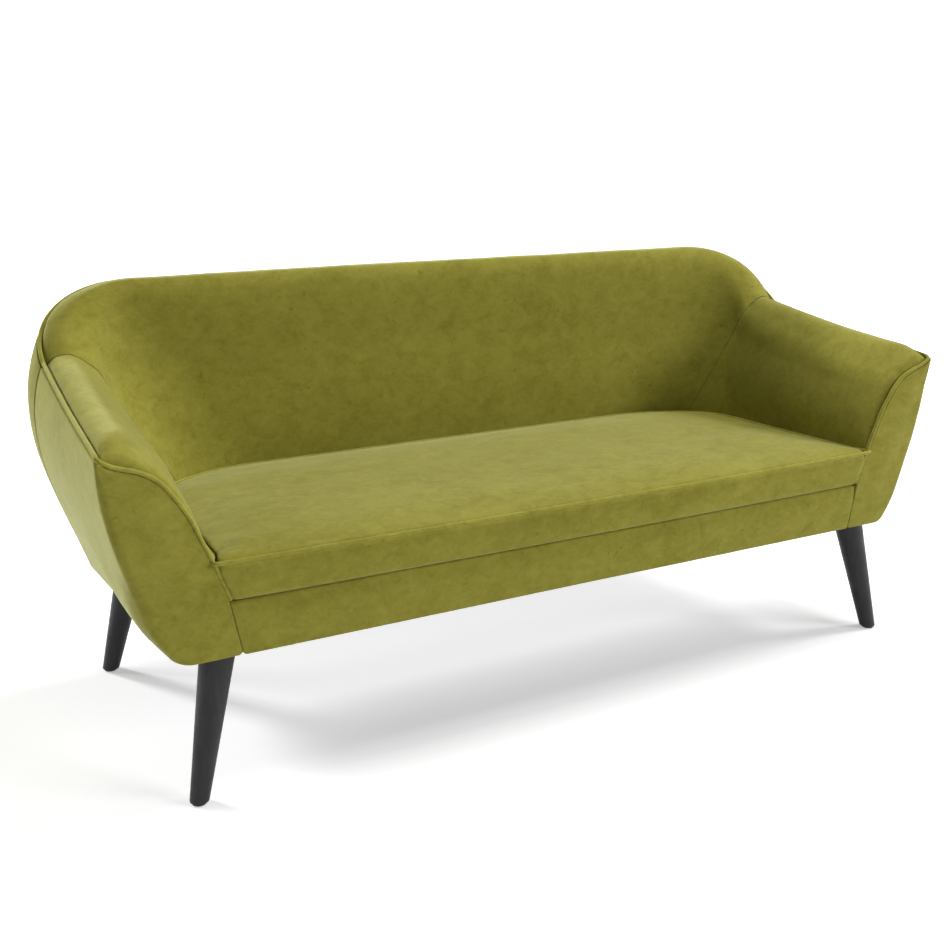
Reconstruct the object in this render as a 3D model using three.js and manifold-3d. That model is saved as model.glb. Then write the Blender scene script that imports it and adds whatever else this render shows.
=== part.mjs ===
// A three-seat velvet sofa: low flared arms that run into a rounded back, one loose bench
// cushion, and four splayed turned legs. Millimetres, +Z up, the sitter looks along -Y.
// The working origin is the middle of the arms' front plane at floor level; the finished
// group is shifted at the end so that its origin is the middle of its footprint.
import * as THREE from 'three';
import { mergeVertices } from 'three/addons/utils/BufferGeometryUtils.js';
import Module from 'manifold-3d';

const wasm = await Module();
wasm.setup();

// ---- overall sizes -------------------------------------------------------------------
const seatHalfWidth = 734;        // half the seat between the arms, at the front
const armWidth = 175;             // seat edge to the outer tip of the arm, at the front
const seatHeight = 423;           // top edge of the cushion
const seatDepth = 565;            // front plane to the back pad, at seat height
const armFrontHeight = 611;       // outer top edge of the arm, at the front
const armRearHeight = 676;        // the same edge where it meets the back
const backHeight = 800;           // top edge of the outer back cover
const backThickness = 80;         // back pad's face at seat height to the top rear edge
const baseHeight = 252;           // underside of the body

// ---- plan of the shell ---------------------------------------------------------------
const armTaper = 20;              // the top edge comes in by this much towards the rear
const seatTaper = 29;             // the seat narrows by this much towards the rear
const seatCornerLength = 165;     // the seat's rear corner, along the arm
const seatCornerWidth = 255;      // and along the back
const rimCornerLength = 165;      // rear corner of the top edge, along the arm
const rimCornerWidth = 186;       // and along the back
const seamTurn = 0.43;            // share of the corner before the seam, at seat height
const baseFlare = 63;             // base edge outside the seat edge, at the front
const baseTaper = 19;             // the base widens by this much towards the rear
const baseCornerRadius = 100;
const baseInset = 7;              // rear base edge inside the rear top edge
const apronHalfWidth = 691;       // bottom corner of the apron
const bulgeFront = 22;            // how far the outer skin swells between base and top
const bulgeSide = 44;
const bulgeBack = 46;
const bulgeCorner = 18;           // and how much more it swells at the rear corners
const bulgeLift = 0.35;           // share of the swell that sits high, away from the front
const riseStart = 0.55;           // share of the arm's rise that is spread evenly

// ---- upholstery ----------------------------------------------------------------------
const coverThickness = 9;         // outer covers with their card and wadding
const facingThickness = 10;       // the arms' front facings and the apron
const padThickness = 24;          // arm pads and back pad
const padRoll = 34;               // depth of the pad's rounded front edge
const padCornerWidth = 225;       // rounded top corners of the back pad, along the back
const padSwell = 20;              // the back pad fills out the rear corners by this much
const hemRoll = 12;               // rounding of the covers' bottom edge
const frontRoll = 8;              // rounded upright edge of the arm's front
const pipingRadius = 3.5;
const pipingGap = 1.6;            // piping stands this far off the edge it follows
const fit = 0.4;                  // gap between pieces that touch
const cushionGap = 5;             // gap round the loose cushion
const padFootGap = 8.4;           // the pads end this far above the deck

// ---- loose cushion -------------------------------------------------------------------
const cushionThickness = 78;
const cushionOverhang = 7;        // the top edge stands this far in front of the arms
const cushionBow = 8;             // and this much further in the middle
const cushionTuck = 26;           // each side slopes in by this much towards the bottom
const cushionFrontTuck = 11;      // and so does the front
const cushionCrown = 12;
const cushionCrownInset = 130;    // the crown's flat top starts this far in
const cushionEdge = 14;           // bevel that the piping lies in
const cushionWall = 6;            // cover with its wadding
const zipLength = 900;
const zipWidth = 8;

// ---- legs ----------------------------------------------------------------------------
const legInset = 71;              // leg's top centre inside the base edge, at the side
const frontLegSetback = 33;       // and behind the arms' front
const rearLegSetback = 57;        // and in front of the rear base edge
const splayX = 57;                // the foot is this much further out than the top
const splayY = 33;                // and this much further forward or back
const footRadius = 16.3;
const legTopRadius = 30.3;
const glideRadius = 12;
const glideHeight = 3;
const boltRadius = 4;
const boltInLeg = 45;
const boltInBlock = 32;

// ---- timber --------------------------------------------------------------------------
const railThickness = 24;
const sideRailDrop = 10;          // side rails below the front rail
const blockHeight = 45;
const blockMargin = 6;            // block beyond the leg's top, on the inner side
const blockLength = 65;
const boardThickness = 22;
const boardGap = 5;               // room between the arm boards and the upholstery
const rearBoardY = 430;
const armRailWidth = 22;
const armRailDrop = 20;           // below the pad, because the crown dips between the boards
const armRailHeight = 22;
const crossRailX = 345;
const crossRailHeight = 45;
const postX = 600;
const postWidth = 45;
const backRailHeight = 28;
const backRailDrop = 24;          // top rail below the back cover's edge

// ---- suspension ----------------------------------------------------------------------
const springCount = 5;
const springPitch = 230;
const springWireRadius = 1.9;
const springWidth = 44;
const springBends = 16;
const springArch = 4;
const clipThickness = 1.5;
const clipHeight = 12;
const clothThickness = 1.6;
const strapCount = 3;
const strapWidth = 60;
const strapThickness = 1.5;

// ---- finishes ------------------------------------------------------------------------
const velvet = new THREE.MeshStandardMaterial({ color: '#87813a', roughness: 0.95 });
const piping = new THREE.MeshStandardMaterial({ color: '#8f8940', roughness: 0.95 });
const lacquer = new THREE.MeshStandardMaterial({ color: '#1d1d1e', roughness: 0.45 });
const timber = new THREE.MeshStandardMaterial({ color: '#c8a878', roughness: 0.8 });
const foam = new THREE.MeshStandardMaterial({ color: '#e6ddc0', roughness: 1 });
const steel = new THREE.MeshStandardMaterial({ color: '#8d9094', roughness: 0.4, metalness: 1 });
const plastic = new THREE.MeshStandardMaterial({ color: '#2a2a2a', roughness: 1 });
const cloth = new THREE.MeshStandardMaterial({ color: '#1c1c1c', roughness: 1 });
const webbing = new THREE.MeshStandardMaterial({ color: '#3a3733', roughness: 0.9 });

const sofa = new THREE.Group();
const lerp = THREE.MathUtils.lerp;
const v3 = (x, y, z) => new THREE.Vector3(x, y, z);
const sides = [{ name: 'left', sign: -1 }, { name: 'right', sign: 1 }];

// ---- closed solids from points -------------------------------------------------------

// Signed volume of an indexed mesh: positive when its faces point outwards.
function signedVolume(points, triangles) {
  return triangles.reduce((sum, [a, b, c]) => {
    const cross = v3().crossVectors(points[b], points[c]);
    return sum + points[a].dot(cross) / 6;
  }, 0);
}

function solid(points, triangles) {
  const outward = signedVolume(points, triangles) > 0;
  const index = triangles.flatMap(([a, b, c]) => (outward ? [a, b, c] : [a, c, b]));
  const geometry = new THREE.BufferGeometry().setFromPoints(points);
  geometry.setIndex(index);
  return geometry;
}

// A closed skin between two grids of points of the same size, joined round their edges.
function solidBetween(outer, inner) {
  const columns = outer.length;
  const rows = outer[0].length;
  const points = [...outer.flat(), ...inner.flat()];
  const at = (layer, i, j) => layer * columns * rows + i * rows + j;
  const triangles = [];
  const quad = (a, b, c, d) => triangles.push([a, b, c], [a, c, d]);
  for (let i = 0; i < columns - 1; i += 1) {
    for (let j = 0; j < rows - 1; j += 1) {
      quad(at(0, i, j), at(0, i + 1, j), at(0, i + 1, j + 1), at(0, i, j + 1));
      quad(at(1, i, j), at(1, i, j + 1), at(1, i + 1, j + 1), at(1, i + 1, j));
    }
  }
  for (let i = 0; i < columns - 1; i += 1) {
    quad(at(0, i, 0), at(1, i, 0), at(1, i + 1, 0), at(0, i + 1, 0));
    const last = rows - 1;
    quad(at(0, i, last), at(0, i + 1, last), at(1, i + 1, last), at(1, i, last));
  }
  for (let j = 0; j < rows - 1; j += 1) {
    quad(at(0, 0, j), at(0, 0, j + 1), at(1, 0, j + 1), at(1, 0, j));
    const last = columns - 1;
    quad(at(0, last, j), at(1, last, j), at(1, last, j + 1), at(0, last, j + 1));
  }
  return solid(points, triangles);
}

// A closed loft through flat loops of points, capped by a fan at each end.
function loopLoft(loops) {
  const count = loops[0].length;
  const middle = (loop) => loop
    .reduce((sum, point) => sum.add(point), v3())
    .divideScalar(count);
  const points = [...loops.flat(), middle(loops[0]), middle(loops.at(-1))];
  const first = loops.length * count;
  const triangles = [];
  for (let i = 0; i < count; i += 1) {
    const next = (i + 1) % count;
    for (let k = 0; k < loops.length - 1; k += 1) {
      const low = k * count;
      const high = low + count;
      triangles.push([low + i, low + next, high + next], [low + i, high + next, high + i]);
    }
    const top = (loops.length - 1) * count;
    triangles.push([first, next, i], [first + 1, top + i, top + next]);
  }
  return solid(points, triangles);
}

// A closed ring through loops of points that follow one another round a section.
function ringLoft(loops) {
  const count = loops[0].length;
  const triangles = [];
  for (let k = 0; k < loops.length; k += 1) {
    const low = k * count;
    const high = ((k + 1) % loops.length) * count;
    for (let i = 0; i < count; i += 1) {
      const next = (i + 1) % count;
      triangles.push([low + i, low + next, high + next], [low + i, high + next, high + i]);
    }
  }
  return solid(loops.flat(), triangles);
}

function box(x0, x1, y0, y1, z0, z1) {
  return new THREE.BoxGeometry(x1 - x0, y1 - y0, z1 - z0)
    .translate((x0 + x1) / 2, (y0 + y1) / 2, (z0 + z1) / 2);
}

// A plate in the XZ plane: the outline is given as [x, z] and it runs from y0 to y1.
function plateXZ(outline, y0, y1) {
  const shape = new THREE.Shape(outline.map(([x, z]) => new THREE.Vector2(x, z)));
  return new THREE.ExtrudeGeometry(shape, { depth: y1 - y0, bevelEnabled: false })
    .rotateX(Math.PI / 2)
    .translate(0, y1, 0);
}

// A round bar along a list of points.
function bar(points, radius, steps, sidesOfBar = 6) {
  const section = new THREE.Shape();
  for (let i = 0; i < sidesOfBar; i += 1) {
    const angle = (2 * Math.PI * i) / sidesOfBar;
    const corner = [radius * Math.cos(angle), radius * Math.sin(angle)];
    if (i === 0) section.moveTo(...corner);
    else section.lineTo(...corner);
  }
  const extrudePath = new THREE.CatmullRomCurve3(points, false, 'centripetal');
  return new THREE.ExtrudeGeometry(section, { steps, extrudePath, bevelEnabled: false });
}

function toManifold(geometry) {
  const bare = geometry.clone();
  bare.deleteAttribute('normal');
  bare.deleteAttribute('uv');
  const merged = mergeVertices(bare, 1e-4);
  return new wasm.Manifold(new wasm.Mesh({
    numProp: 3,
    vertProperties: Float32Array.from(merged.attributes.position.array),
    triVerts: Uint32Array.from(merged.index.array),
  }));
}

function fromManifold(manifold) {
  const mesh = manifold.getMesh();
  const geometry = new THREE.BufferGeometry();
  geometry.setAttribute('position', new THREE.BufferAttribute(mesh.vertProperties, 3));
  geometry.setIndex(new THREE.BufferAttribute(mesh.triVerts, 1));
  return geometry;
}

function cut(geometry, ...tools) {
  const result = tools.reduce((rest, tool) => rest.subtract(toManifold(tool)), toManifold(geometry));
  return fromManifold(result);
}

function join(...geometries) {
  const [first, ...others] = geometries.map(toManifold);
  return fromManifold(others.reduce((sum, next) => sum.add(next), first));
}

function clip(geometry, tool) {
  return fromManifold(toManifold(geometry).intersect(toManifold(tool)));
}

// The same geometry on the other side of the sofa, with its faces still pointing out.
function mirrored(geometry) {
  const copy = geometry.clone().scale(-1, 1, 1);
  if (!copy.index) copy.setIndex([...Array(copy.attributes.position.count).keys()]);
  const index = copy.index.array;
  for (let i = 0; i < index.length; i += 3) {
    const swap = index[i + 1];
    index[i + 1] = index[i + 2];
    index[i + 2] = swap;
  }
  return copy;
}

function add(name, geometry, material, parent = sofa) {
  const mesh = new THREE.Mesh(geometry, material);
  mesh.name = name;
  parent.add(mesh);
  return mesh;
}

// Adds a right-hand geometry and its mirror image as NAME_right and NAME_left.
function addPair(name, geometry, material) {
  for (const { name: side, sign } of sides) {
    add(`${name}_${side}`, sign > 0 ? geometry : mirrored(geometry), material);
  }
}

// ---- curves that run round the shell -------------------------------------------------
// Each runs from s = 0 at the arm's front, along the arm to s = 1, round the rear corner
// to s = 2, and along the back to the middle at s = 3. It is the right half of the sofa.

function shellCurve({ front, side, back }) {
  return (s) => {
    if (s <= 1) {
      const rise = riseStart * s + (1 - riseStart) * s * s;
      return v3(lerp(front.x, side.x, s), lerp(front.y, side.y, s), lerp(front.z, side.z, rise));
    }
    const angle = (Math.min(s - 1, 1) * Math.PI) / 2;
    const x = lerp(back.x, side.x, Math.cos(angle));
    const y = lerp(side.y, back.y, Math.sin(angle));
    const z = lerp(side.z, back.z, Math.sin(angle));
    return v3(s <= 2 ? x : lerp(back.x, 0, s - 2), y, z);
  };
}

const armTip = seatHalfWidth + armWidth;
const armRear = armTip - armTaper;
const rimBackY = seatDepth + backThickness;
const rimCornerY = rimBackY - rimCornerLength;
const rimCornerX = armRear - rimCornerWidth;
const baseFront = seatHalfWidth + baseFlare;
const baseSide = baseFront + baseTaper;
const baseBackY = rimBackY - baseInset;

const rim = shellCurve({
  front: v3(armTip, 0, armFrontHeight),
  side: v3(armRear, rimCornerY, armRearHeight),
  back: v3(rimCornerX, rimBackY, backHeight),
});

const baseEdge = shellCurve({
  front: v3(baseFront, 0, baseHeight),
  side: v3(baseSide, baseBackY - baseCornerRadius, baseHeight),
  back: v3(baseSide - baseCornerRadius, baseBackY, baseHeight),
});

// Outer skin of the shell: v = 0 at the base edge and 1 at the rim.
function outerSkin(s, v) {
  const point = baseEdge(s).lerp(rim(s), v);
  const angle = (THREE.MathUtils.clamp(s - 1, 0, 1) * Math.PI) / 2;
  const even = 4 * v * (1 - v);
  const high = 6.75 * v * v * (1 - v);
  const swell = s <= 1
    ? lerp(bulgeFront, bulgeSide, s)
    : lerp(bulgeSide, bulgeBack, Math.min(s - 1, 1));
  const profile = lerp(even, high, bulgeLift * Math.min(s, 1));
  const corner = bulgeCorner * Math.sin(2 * angle) * high;
  const depth = swell * profile + corner - edgeRoll(point.z - baseHeight, hemRoll);
  return point.add(v3(Math.cos(angle) * depth, Math.sin(angle) * depth, 0));
}

const seatSide = seatHalfWidth - seatTaper;
const seatCornerY = seatDepth - seatCornerLength;
const seatBackX = seatSide - seatCornerWidth;
const padFront = facingThickness + fit;
const deckHeight = seatHeight - cushionThickness;

// The foot of a section slopes in beside the cushion and ends just above the deck.
function footPair(width, height, tuck) {
  const drop = cushionThickness - padFootGap;
  return [(-tuck * drop) / cushionThickness / width, -drop / (height - seatHeight)];
}
const frontFoot = footPair(armWidth, armFrontHeight, cushionTuck);
const sideFoot = footPair(armRear - seatSide, armRearHeight, cushionTuck);
const backFoot = footPair(backThickness, backHeight, 0);

// Sections of the pads. Each pair is [across, up]: across runs from 0 at the seat's edge to
// 1 at the rim, and up runs from 0 at the seat's top to 1 at the rim. The first pair is at
// the rim, the third on the crown, and the last is down beside the cushion.
const sewnSection = [[0.93, 0.98], [0.9, 0.98], [0.72, 0.89], [0.46, 0.75],
  [0.257, 0.5], [0.103, 0.25], [0, 0.01], frontFoot];
const armFrontSection = [[0.93, 0.98], [0.9, 1.09], [0.766, 1.135], [0.377, 0.867],
  [0.16, 0.569], [0.05, 0.303], [0, 0.01], frontFoot];
const armRearSection = [[0.93, 0.985], [0.89, 1.05], [0.755, 1.078], [0.5, 0.967],
  [0.293, 0.66], [0.14, 0.383], [0, 0.008], sideFoot];
const backSection = [[0.87, 0.995], [0.78, 1.03], [0.44, 1.043], [0.15, 0.99],
  [0.11, 0.576], [0.03, 0.27], [0, 0.005], backFoot];
const cornerSwell = [0, 1, 1, 1, 0.6, 0, 0, 0];
const padRows = backSection.length;

// One line of a pad, running round the shell at row k of its sections.
function padLine(k) {
  const [frontAcross, frontUp] = armFrontSection[k];
  const [sideAcross, sideUp] = armRearSection[k];
  const [backAcross, backUp] = backSection[k];
  const share = (up) => THREE.MathUtils.clamp(up, 0, 1);
  const cornerX = k > 0 ? armRear - padCornerWidth : rimCornerX;
  return shellCurve({
    front: v3(
      seatHalfWidth + armWidth * frontAcross,
      padFront,
      lerp(seatHeight, armFrontHeight, frontUp),
    ),
    side: v3(
      lerp(seatSide, armRear, sideAcross),
      lerp(seatCornerY, rimCornerY, Math.sqrt(share(sideUp))),
      lerp(seatHeight, armRearHeight, sideUp),
    ),
    back: v3(
      lerp(seatBackX, cornerX, share(backUp)),
      seatDepth + backThickness * backAcross,
      lerp(seatHeight, backHeight, backUp),
    ),
  });
}

const padLines = Array.from({ length: padRows }, (_, k) => padLine(k));

function sewnEdge(row) {
  const k = Math.min(Math.floor(row), padRows - 2);
  const [across, up] = [0, 1].map((i) => lerp(sewnSection[k][i], sewnSection[k + 1][i], row - k));
  return v3(seatHalfWidth + armWidth * across, 0, lerp(seatHeight, armFrontHeight, up));
}

// Full surface of the pads, before the front edge is rolled over to its seam.
function padSurface(s, row) {
  const k = Math.min(Math.floor(row), padRows - 2);
  const point = padLines[k](s).lerp(padLines[k + 1](s), row - k);
  const angle = THREE.MathUtils.clamp(s - 1, 0, 1) * Math.PI;
  const swell = lerp(cornerSwell[k], cornerSwell[k + 1], row - k) * padSwell;
  return point.add(v3(swell * Math.sin(angle), 0, 0));
}

// The visible pad: near the front it rolls in from the full section to the sewn edge.
function rolledPad(s, row) {
  const point = padSurface(s, row);
  const along = (point.y - padFront) / padRoll;
  if (along >= 1) return point;
  const edge = sewnEdge(row);
  const open = Math.sqrt(1 - (1 - along) ** 2);
  return v3(lerp(edge.x, point.x, open), point.y, lerp(edge.z, point.z, open));
}

// Unit normal of a surface by small steps; it points away from the pad's filling.
function surfaceNormal(surface, a, b) {
  const step = 0.02;
  const alongA = surface(a + step, b).sub(surface(a - step, b));
  const alongB = surface(a, b + step).sub(surface(a, b - step));
  return alongA.cross(alongB).normalize();
}

// The seam between arm and back runs down the inner corner: at the rim it is where the
// corner starts, and at the seat it is half way round it.
function seamAt(row) {
  const [, up] = armRearSection[Math.round(row)];
  return 1 + seamTurn * (1 - THREE.MathUtils.clamp(up, 0, 1));
}

const seamGap = 0.0015;           // half the seam's gap, as a share of the shell curve

// ---- pads ----------------------------------------------------------------------------

// A pad as a closed solid: its face, and the same face sunk by its thickness.
function padSolid(columns, place) {
  const rows = Array.from({ length: padRows }, (_, k) => k);
  const face = columns.map((u) => rows.map((row) => {
    const { s, flip } = place(u, row);
    return rolledPad(s, row).multiply(v3(flip, 1, 1));
  }));
  const hidden = columns.map((u) => rows.map((row) => {
    const { s, flip } = place(u, row);
    const inner = THREE.MathUtils.clamp(row, 0.02, padRows - 1.02);
    const normal = surfaceNormal(padSurface, Math.max(s, 0.02), inner);
    const point = rolledPad(s, row).addScaledVector(normal, -padThickness);
    return point.setY(Math.max(point.y, padFront)).multiply(v3(flip, 1, 1));
  }));
  return solidBetween(face, hidden);
}

// Columns along the arm: close together where the front edge is rolled.
const armColumns = [0, 0.012, 0.03, 0.055, 0.08, 0.25, 0.45, 0.65, 0.82, 0.93, 1];
const armPad = padSolid(armColumns, (u, row) => (
  { s: u * (seamAt(row) - seamGap), flip: 1 }));
addPair('arm_pad', armPad, velvet);

// Columns along the back, from -1 at the left seam to 1 at the right seam.
const backHalfColumns = [0.16, 0.36, 0.46, 0.56, 0.66, 0.76, 0.88, 1];
const backColumns = [...backHalfColumns.map((u) => -u).reverse(), ...backHalfColumns];
const backPad = padSolid(backColumns, (u, row) => (
  { s: lerp(3, seamAt(row) + seamGap, Math.abs(u)), flip: Math.sign(u) }));
add('back_pad', backPad, velvet);

// ---- outer covers --------------------------------------------------------------------

const coverRows = [0, 0.01, 0.035, 0.12, 0.25, 0.4, 0.55, 0.7, 0.85, 0.94, 1];

function coverSolid(columns, place) {
  const skin = (depth) => columns.map((u) => coverRows.map((v) => {
    const { s, flip } = place(u);
    const angle = (THREE.MathUtils.clamp(s - 1, 0, 1) * Math.PI) / 2;
    const inward = v3(-Math.cos(angle), -Math.sin(angle), 0);
    const rolled = s < 1 ? edgeRoll(outerSkin(s, v).y, frontRoll) : 0;
    return outerSkin(s, v).addScaledVector(inward, depth + rolled).multiply(v3(flip, 1, 1));
  }));
  return solidBetween(skin(0), skin(coverThickness));
}

// How far a rounded edge of radius r has come in at a distance d from its end.
function edgeRoll(d, r) {
  return d >= r ? 0 : r - Math.sqrt(r * r - (r - d) ** 2);
}

// The arm's cover wraps from the side round the front, so facing and side are one piece.
function facingOutline() {
  const outer = coverRows.map((v) => {
    const point = outerSkin(0, v);
    return [point.x - frontRoll, point.z];
  });
  const innerEdge = Array.from({ length: padRows }, (_, k) => sewnEdge(k)).slice(2)
    .map((point) => [point.x, point.z]);
  return [...outer, ...innerEdge, [apronHalfWidth, baseHeight]];
}

const sideCover = coverSolid([0, 0.006, 0.018, 0.2, 0.4, 0.6, 0.8, 1 - seamGap],
  (u) => ({ s: u, flip: 1 }));
const armFacing = plateXZ(facingOutline(), 0, facingThickness);
addPair('arm_cover', join(sideCover, armFacing), velvet);

const backCoverHalf = [1 + seamGap, 1.17, 1.34, 1.5, 1.66, 1.83, 2, 2.5];
const backCover = coverSolid(
  [...backCoverHalf.map((s) => -s), ...[...backCoverHalf].reverse()],
  (u) => ({ s: Math.abs(u), flip: Math.sign(u) }),
);
add('back_cover', backCover, velvet);

// ---- piping --------------------------------------------------------------------------

// One section of piping: a hexagon spanned by two directions round its centre.
function cordSection(centre, across, upward) {
  return Array.from({ length: 6 }, (_, i) => {
    const angle = (Math.PI * i) / 3;
    return centre.clone()
      .addScaledVector(across, pipingRadius * Math.cos(angle))
      .addScaledVector(upward, pipingRadius * Math.sin(angle));
  });
}

// Piping on the covers' top edge at s, set in by its radius and standing on the edge.
function rimSection(s, flip = 1) {
  const angle = (THREE.MathUtils.clamp(s - 1, 0, 1) * Math.PI) / 2;
  const outward = v3(Math.cos(angle), Math.sin(angle), 0);
  const centre = rim(s)
    .addScaledVector(outward, -pipingRadius - pipingGap / 2)
    .add(v3(0, 0, pipingRadius + pipingGap));
  const across = outward.multiply(v3(flip, 1, 1));
  return cordSection(centre.multiply(v3(flip, 1, 1)), across, v3(0, 0, 1));
}

// Piping on the facing's inner edge at row k of the sewn section.
function facingSection(k) {
  const along = sewnEdge(k + 0.5).sub(sewnEdge(k - 0.5)).normalize();
  const away = v3(along.z, 0, -along.x);
  const centre = sewnEdge(k)
    .addScaledVector(away, pipingRadius + pipingGap)
    .add(v3(0, facingThickness / 2, 0));
  return cordSection(centre, v3(0, -1, 0), away);
}

const armCordColumns = [1 - 4 * seamGap, 0.8, 0.6, 0.4, 0.2, 0.03];
const facingRows = [1, 2, 3, 4, 5, 5.55];
const armCord = [
  ...armCordColumns.map((s) => rimSection(s)),
  ...facingRows.map((k) => facingSection(k)),
];
addPair('arm_piping', loopLoft(armCord), piping);

const backCordHalf = [1 + 4 * seamGap, ...backCoverHalf.slice(1)];
const backCord = [
  ...backCordHalf.map((s) => rimSection(s, -1)),
  ...[...backCordHalf].reverse().map((s) => rimSection(s, 1)),
];
add('back_piping', loopLoft(backCord), piping);

// ---- apron ---------------------------------------------------------------------------

const apronTop = deckHeight - fit;
const facingFoot = sewnEdge(padRows - 1);
const apronRise = (apronTop - baseHeight) / (facingFoot.z - baseHeight);
const apronTopHalf = lerp(apronHalfWidth, facingFoot.x, apronRise) - fit;
const apronFoot = apronHalfWidth - fit;
add('front_apron', plateXZ([
  [-apronFoot, baseHeight], [apronFoot, baseHeight],
  [apronTopHalf, apronTop], [-apronTopHalf, apronTop],
], 0, facingThickness), velvet);

// ---- loose seat cushion --------------------------------------------------------------

const halfLoop = [0, 0.5, 1, 1.2, 1.4, 1.6, 1.8, 2, 2.5];
const cushion = new THREE.Group();
sofa.add(cushion);

// A level outline of the cushion, set in from the pads' faces and from its own front.
function cushionLoop({ sideInset, backInset, frontInset, z }) {
  const half = shellCurve({
    front: v3(seatHalfWidth - sideInset, frontInset - cushionOverhang, z),
    side: v3(seatSide - sideInset, seatCornerY, z),
    back: v3(seatBackX, seatDepth - backInset, z),
  });
  const right = halfLoop.map((s) => half(s));
  const left = [...right].reverse().map((point) => point.clone().multiply(v3(-1, 1, 1)));
  const bow = [-0.5, 0, 0.5].map((t) => half(0).add(
    v3((t - 1) * half(0).x, -cushionBow * (1 - t * t), 0),
  ));
  return [...right, ...left, ...bow];
}

function cushionLoft(wall) {
  const level = (inset, z) => {
    const low = Math.max(seatHeight - z, 0) / cushionThickness;
    return cushionLoop({
      sideInset: cushionGap + inset + cushionTuck * low,
      backInset: cushionGap + inset,
      frontInset: inset + cushionFrontTuck * low,
      z,
    });
  };
  return loopLoft([
    level(wall, deckHeight + wall),
    level(wall, seatHeight - cushionEdge),
    level(wall + cushionEdge, seatHeight - wall),
    level(wall + cushionCrownInset, seatHeight - wall + cushionCrown),
  ]);
}

const zipSlot = box(
  -zipLength / 2,
  zipLength / 2,
  seatDepth - 4 * cushionWall,
  seatDepth,
  deckHeight + cushionThickness / 2 - zipWidth / 2,
  deckHeight + cushionThickness / 2 + zipWidth / 2,
);
const coverOnly = cut(cushionLoft(0), cushionLoft(cushionWall), zipSlot);
add('seat_cushion_cover', coverOnly, velvet, cushion);
add('seat_cushion_core', cushionLoft(cushionWall + fit), foam, cushion);

// The cushion's piping is a ring in the bevel round its top edge.
const ringLoops = Array.from({ length: 6 }, (_, i) => {
  const angle = (Math.PI * i) / 3;
  const inset = pipingRadius + fit - pipingRadius * Math.cos(angle);
  return cushionLoop({
    sideInset: cushionGap + inset,
    backInset: cushionGap + inset,
    frontInset: inset,
    z: seatHeight - pipingRadius - fit + pipingRadius * Math.sin(angle),
  });
});
add('seat_cushion_piping', ringLoft(ringLoops), piping, cushion);

// ---- base frame ----------------------------------------------------------------------

const railTop = deckHeight - fit - clothThickness - fit;
const frameFront = facingThickness + fit;
const legTopX = baseFront - legInset;
const legSpots = [
  { name: 'front', topY: frontLegSetback, splay: -splayY },
  { name: 'rear', topY: baseBackY - rearLegSetback, splay: splayY },
];
const blockInner = legTopX - legTopRadius - blockMargin;
const blockOuter = legTopX + legTopRadius - blockMargin;
const frontBlockEnd = frameFront + blockLength;
const rearBlockEnd = legSpots[1].topY + legTopRadius - blockMargin;
const backLean = backThickness * backSection[3][0];
const strapFront = seatDepth + backLean + padThickness + fit;
const rearRailFront = strapFront + strapThickness + fit;
const rearRailBack = rearRailFront + railThickness;

add('front_rail', box(
  -blockInner + fit, blockInner - fit, frameFront, frameFront + railThickness, baseHeight, railTop,
), timber);
add('rear_rail', box(
  -blockInner + fit, blockInner - fit, rearRailFront, rearRailBack,
  baseHeight + hemRoll, railTop,
), timber);
addPair('side_rail', box(
  blockOuter - railThickness, blockOuter, frontBlockEnd + fit, rearBlockEnd - blockLength - fit,
  baseHeight, railTop - sideRailDrop,
), timber);
addPair('cross_rail', box(
  crossRailX - railThickness / 2, crossRailX + railThickness / 2,
  frameFront + railThickness + fit, rearRailFront - fit,
  baseHeight, baseHeight + crossRailHeight,
), timber);

// ---- legs, with their corner blocks, hanger bolts and glides --------------------------

// A cylinder or cone from one point to another.
function rod(from, to, radiusFrom, radiusTo, sidesOfRod) {
  const axis = to.clone().sub(from);
  const turn = new THREE.Quaternion().setFromUnitVectors(v3(0, 1, 0), axis.clone().normalize());
  return new THREE.CylinderGeometry(radiusTo, radiusFrom, axis.length(), sidesOfRod)
    .applyQuaternion(turn)
    .translate(...from.clone().add(to).multiplyScalar(0.5));
}

const legSides = 24;
for (const { name, topY, splay } of legSpots) {
  const top = v3(legTopX, topY, baseHeight);
  const foot = v3(legTopX + splayX, topY + splay, 0);
  const axis = top.clone().sub(foot).normalize();
  const growth = (legTopRadius - footRadius) / top.distanceTo(foot);
  const spare = 20;
  const cone = rod(
    foot.clone().addScaledVector(axis, -spare),
    top.clone().addScaledVector(axis, spare),
    footRadius - growth * spare,
    legTopRadius + growth * spare,
    legSides,
  );
  const reach = 4 * legTopRadius;
  const slab = box(
    foot.x - reach, foot.x + reach, foot.y - reach, foot.y + reach,
    glideHeight + fit, baseHeight - fit,
  );
  const boltEnds = [
    top.clone().addScaledVector(axis, -boltInLeg),
    top.clone().addScaledVector(axis, boltInBlock),
  ];
  const holeEnds = [
    boltEnds[0].clone().addScaledVector(axis, -fit),
    boltEnds[1].clone().addScaledVector(axis, fit),
  ];
  const hole = rod(...holeEnds, boltRadius + fit, boltRadius + fit, 10);
  const [blockFront, blockBack] = name === 'front'
    ? [frameFront, frontBlockEnd]
    : [rearBlockEnd - blockLength, rearBlockEnd];
  const block = box(
    blockInner, blockOuter, blockFront, blockBack, baseHeight, baseHeight + blockHeight,
  );
  addPair(`leg_${name}`, cut(clip(cone, slab), hole), lacquer);
  addPair(`corner_block_${name}`, cut(block, hole), timber);
  addPair(`leg_bolt_${name}`, rod(...boltEnds, boltRadius, boltRadius, 8), steel);
  const glide = new THREE.CylinderGeometry(glideRadius, glideRadius, glideHeight, 20)
    .rotateX(Math.PI / 2)
    .translate(foot.x, foot.y, glideHeight / 2);
  addPair(`leg_glide_${name}`, glide, plastic);
}

// ---- arm frames ----------------------------------------------------------------------

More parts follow.
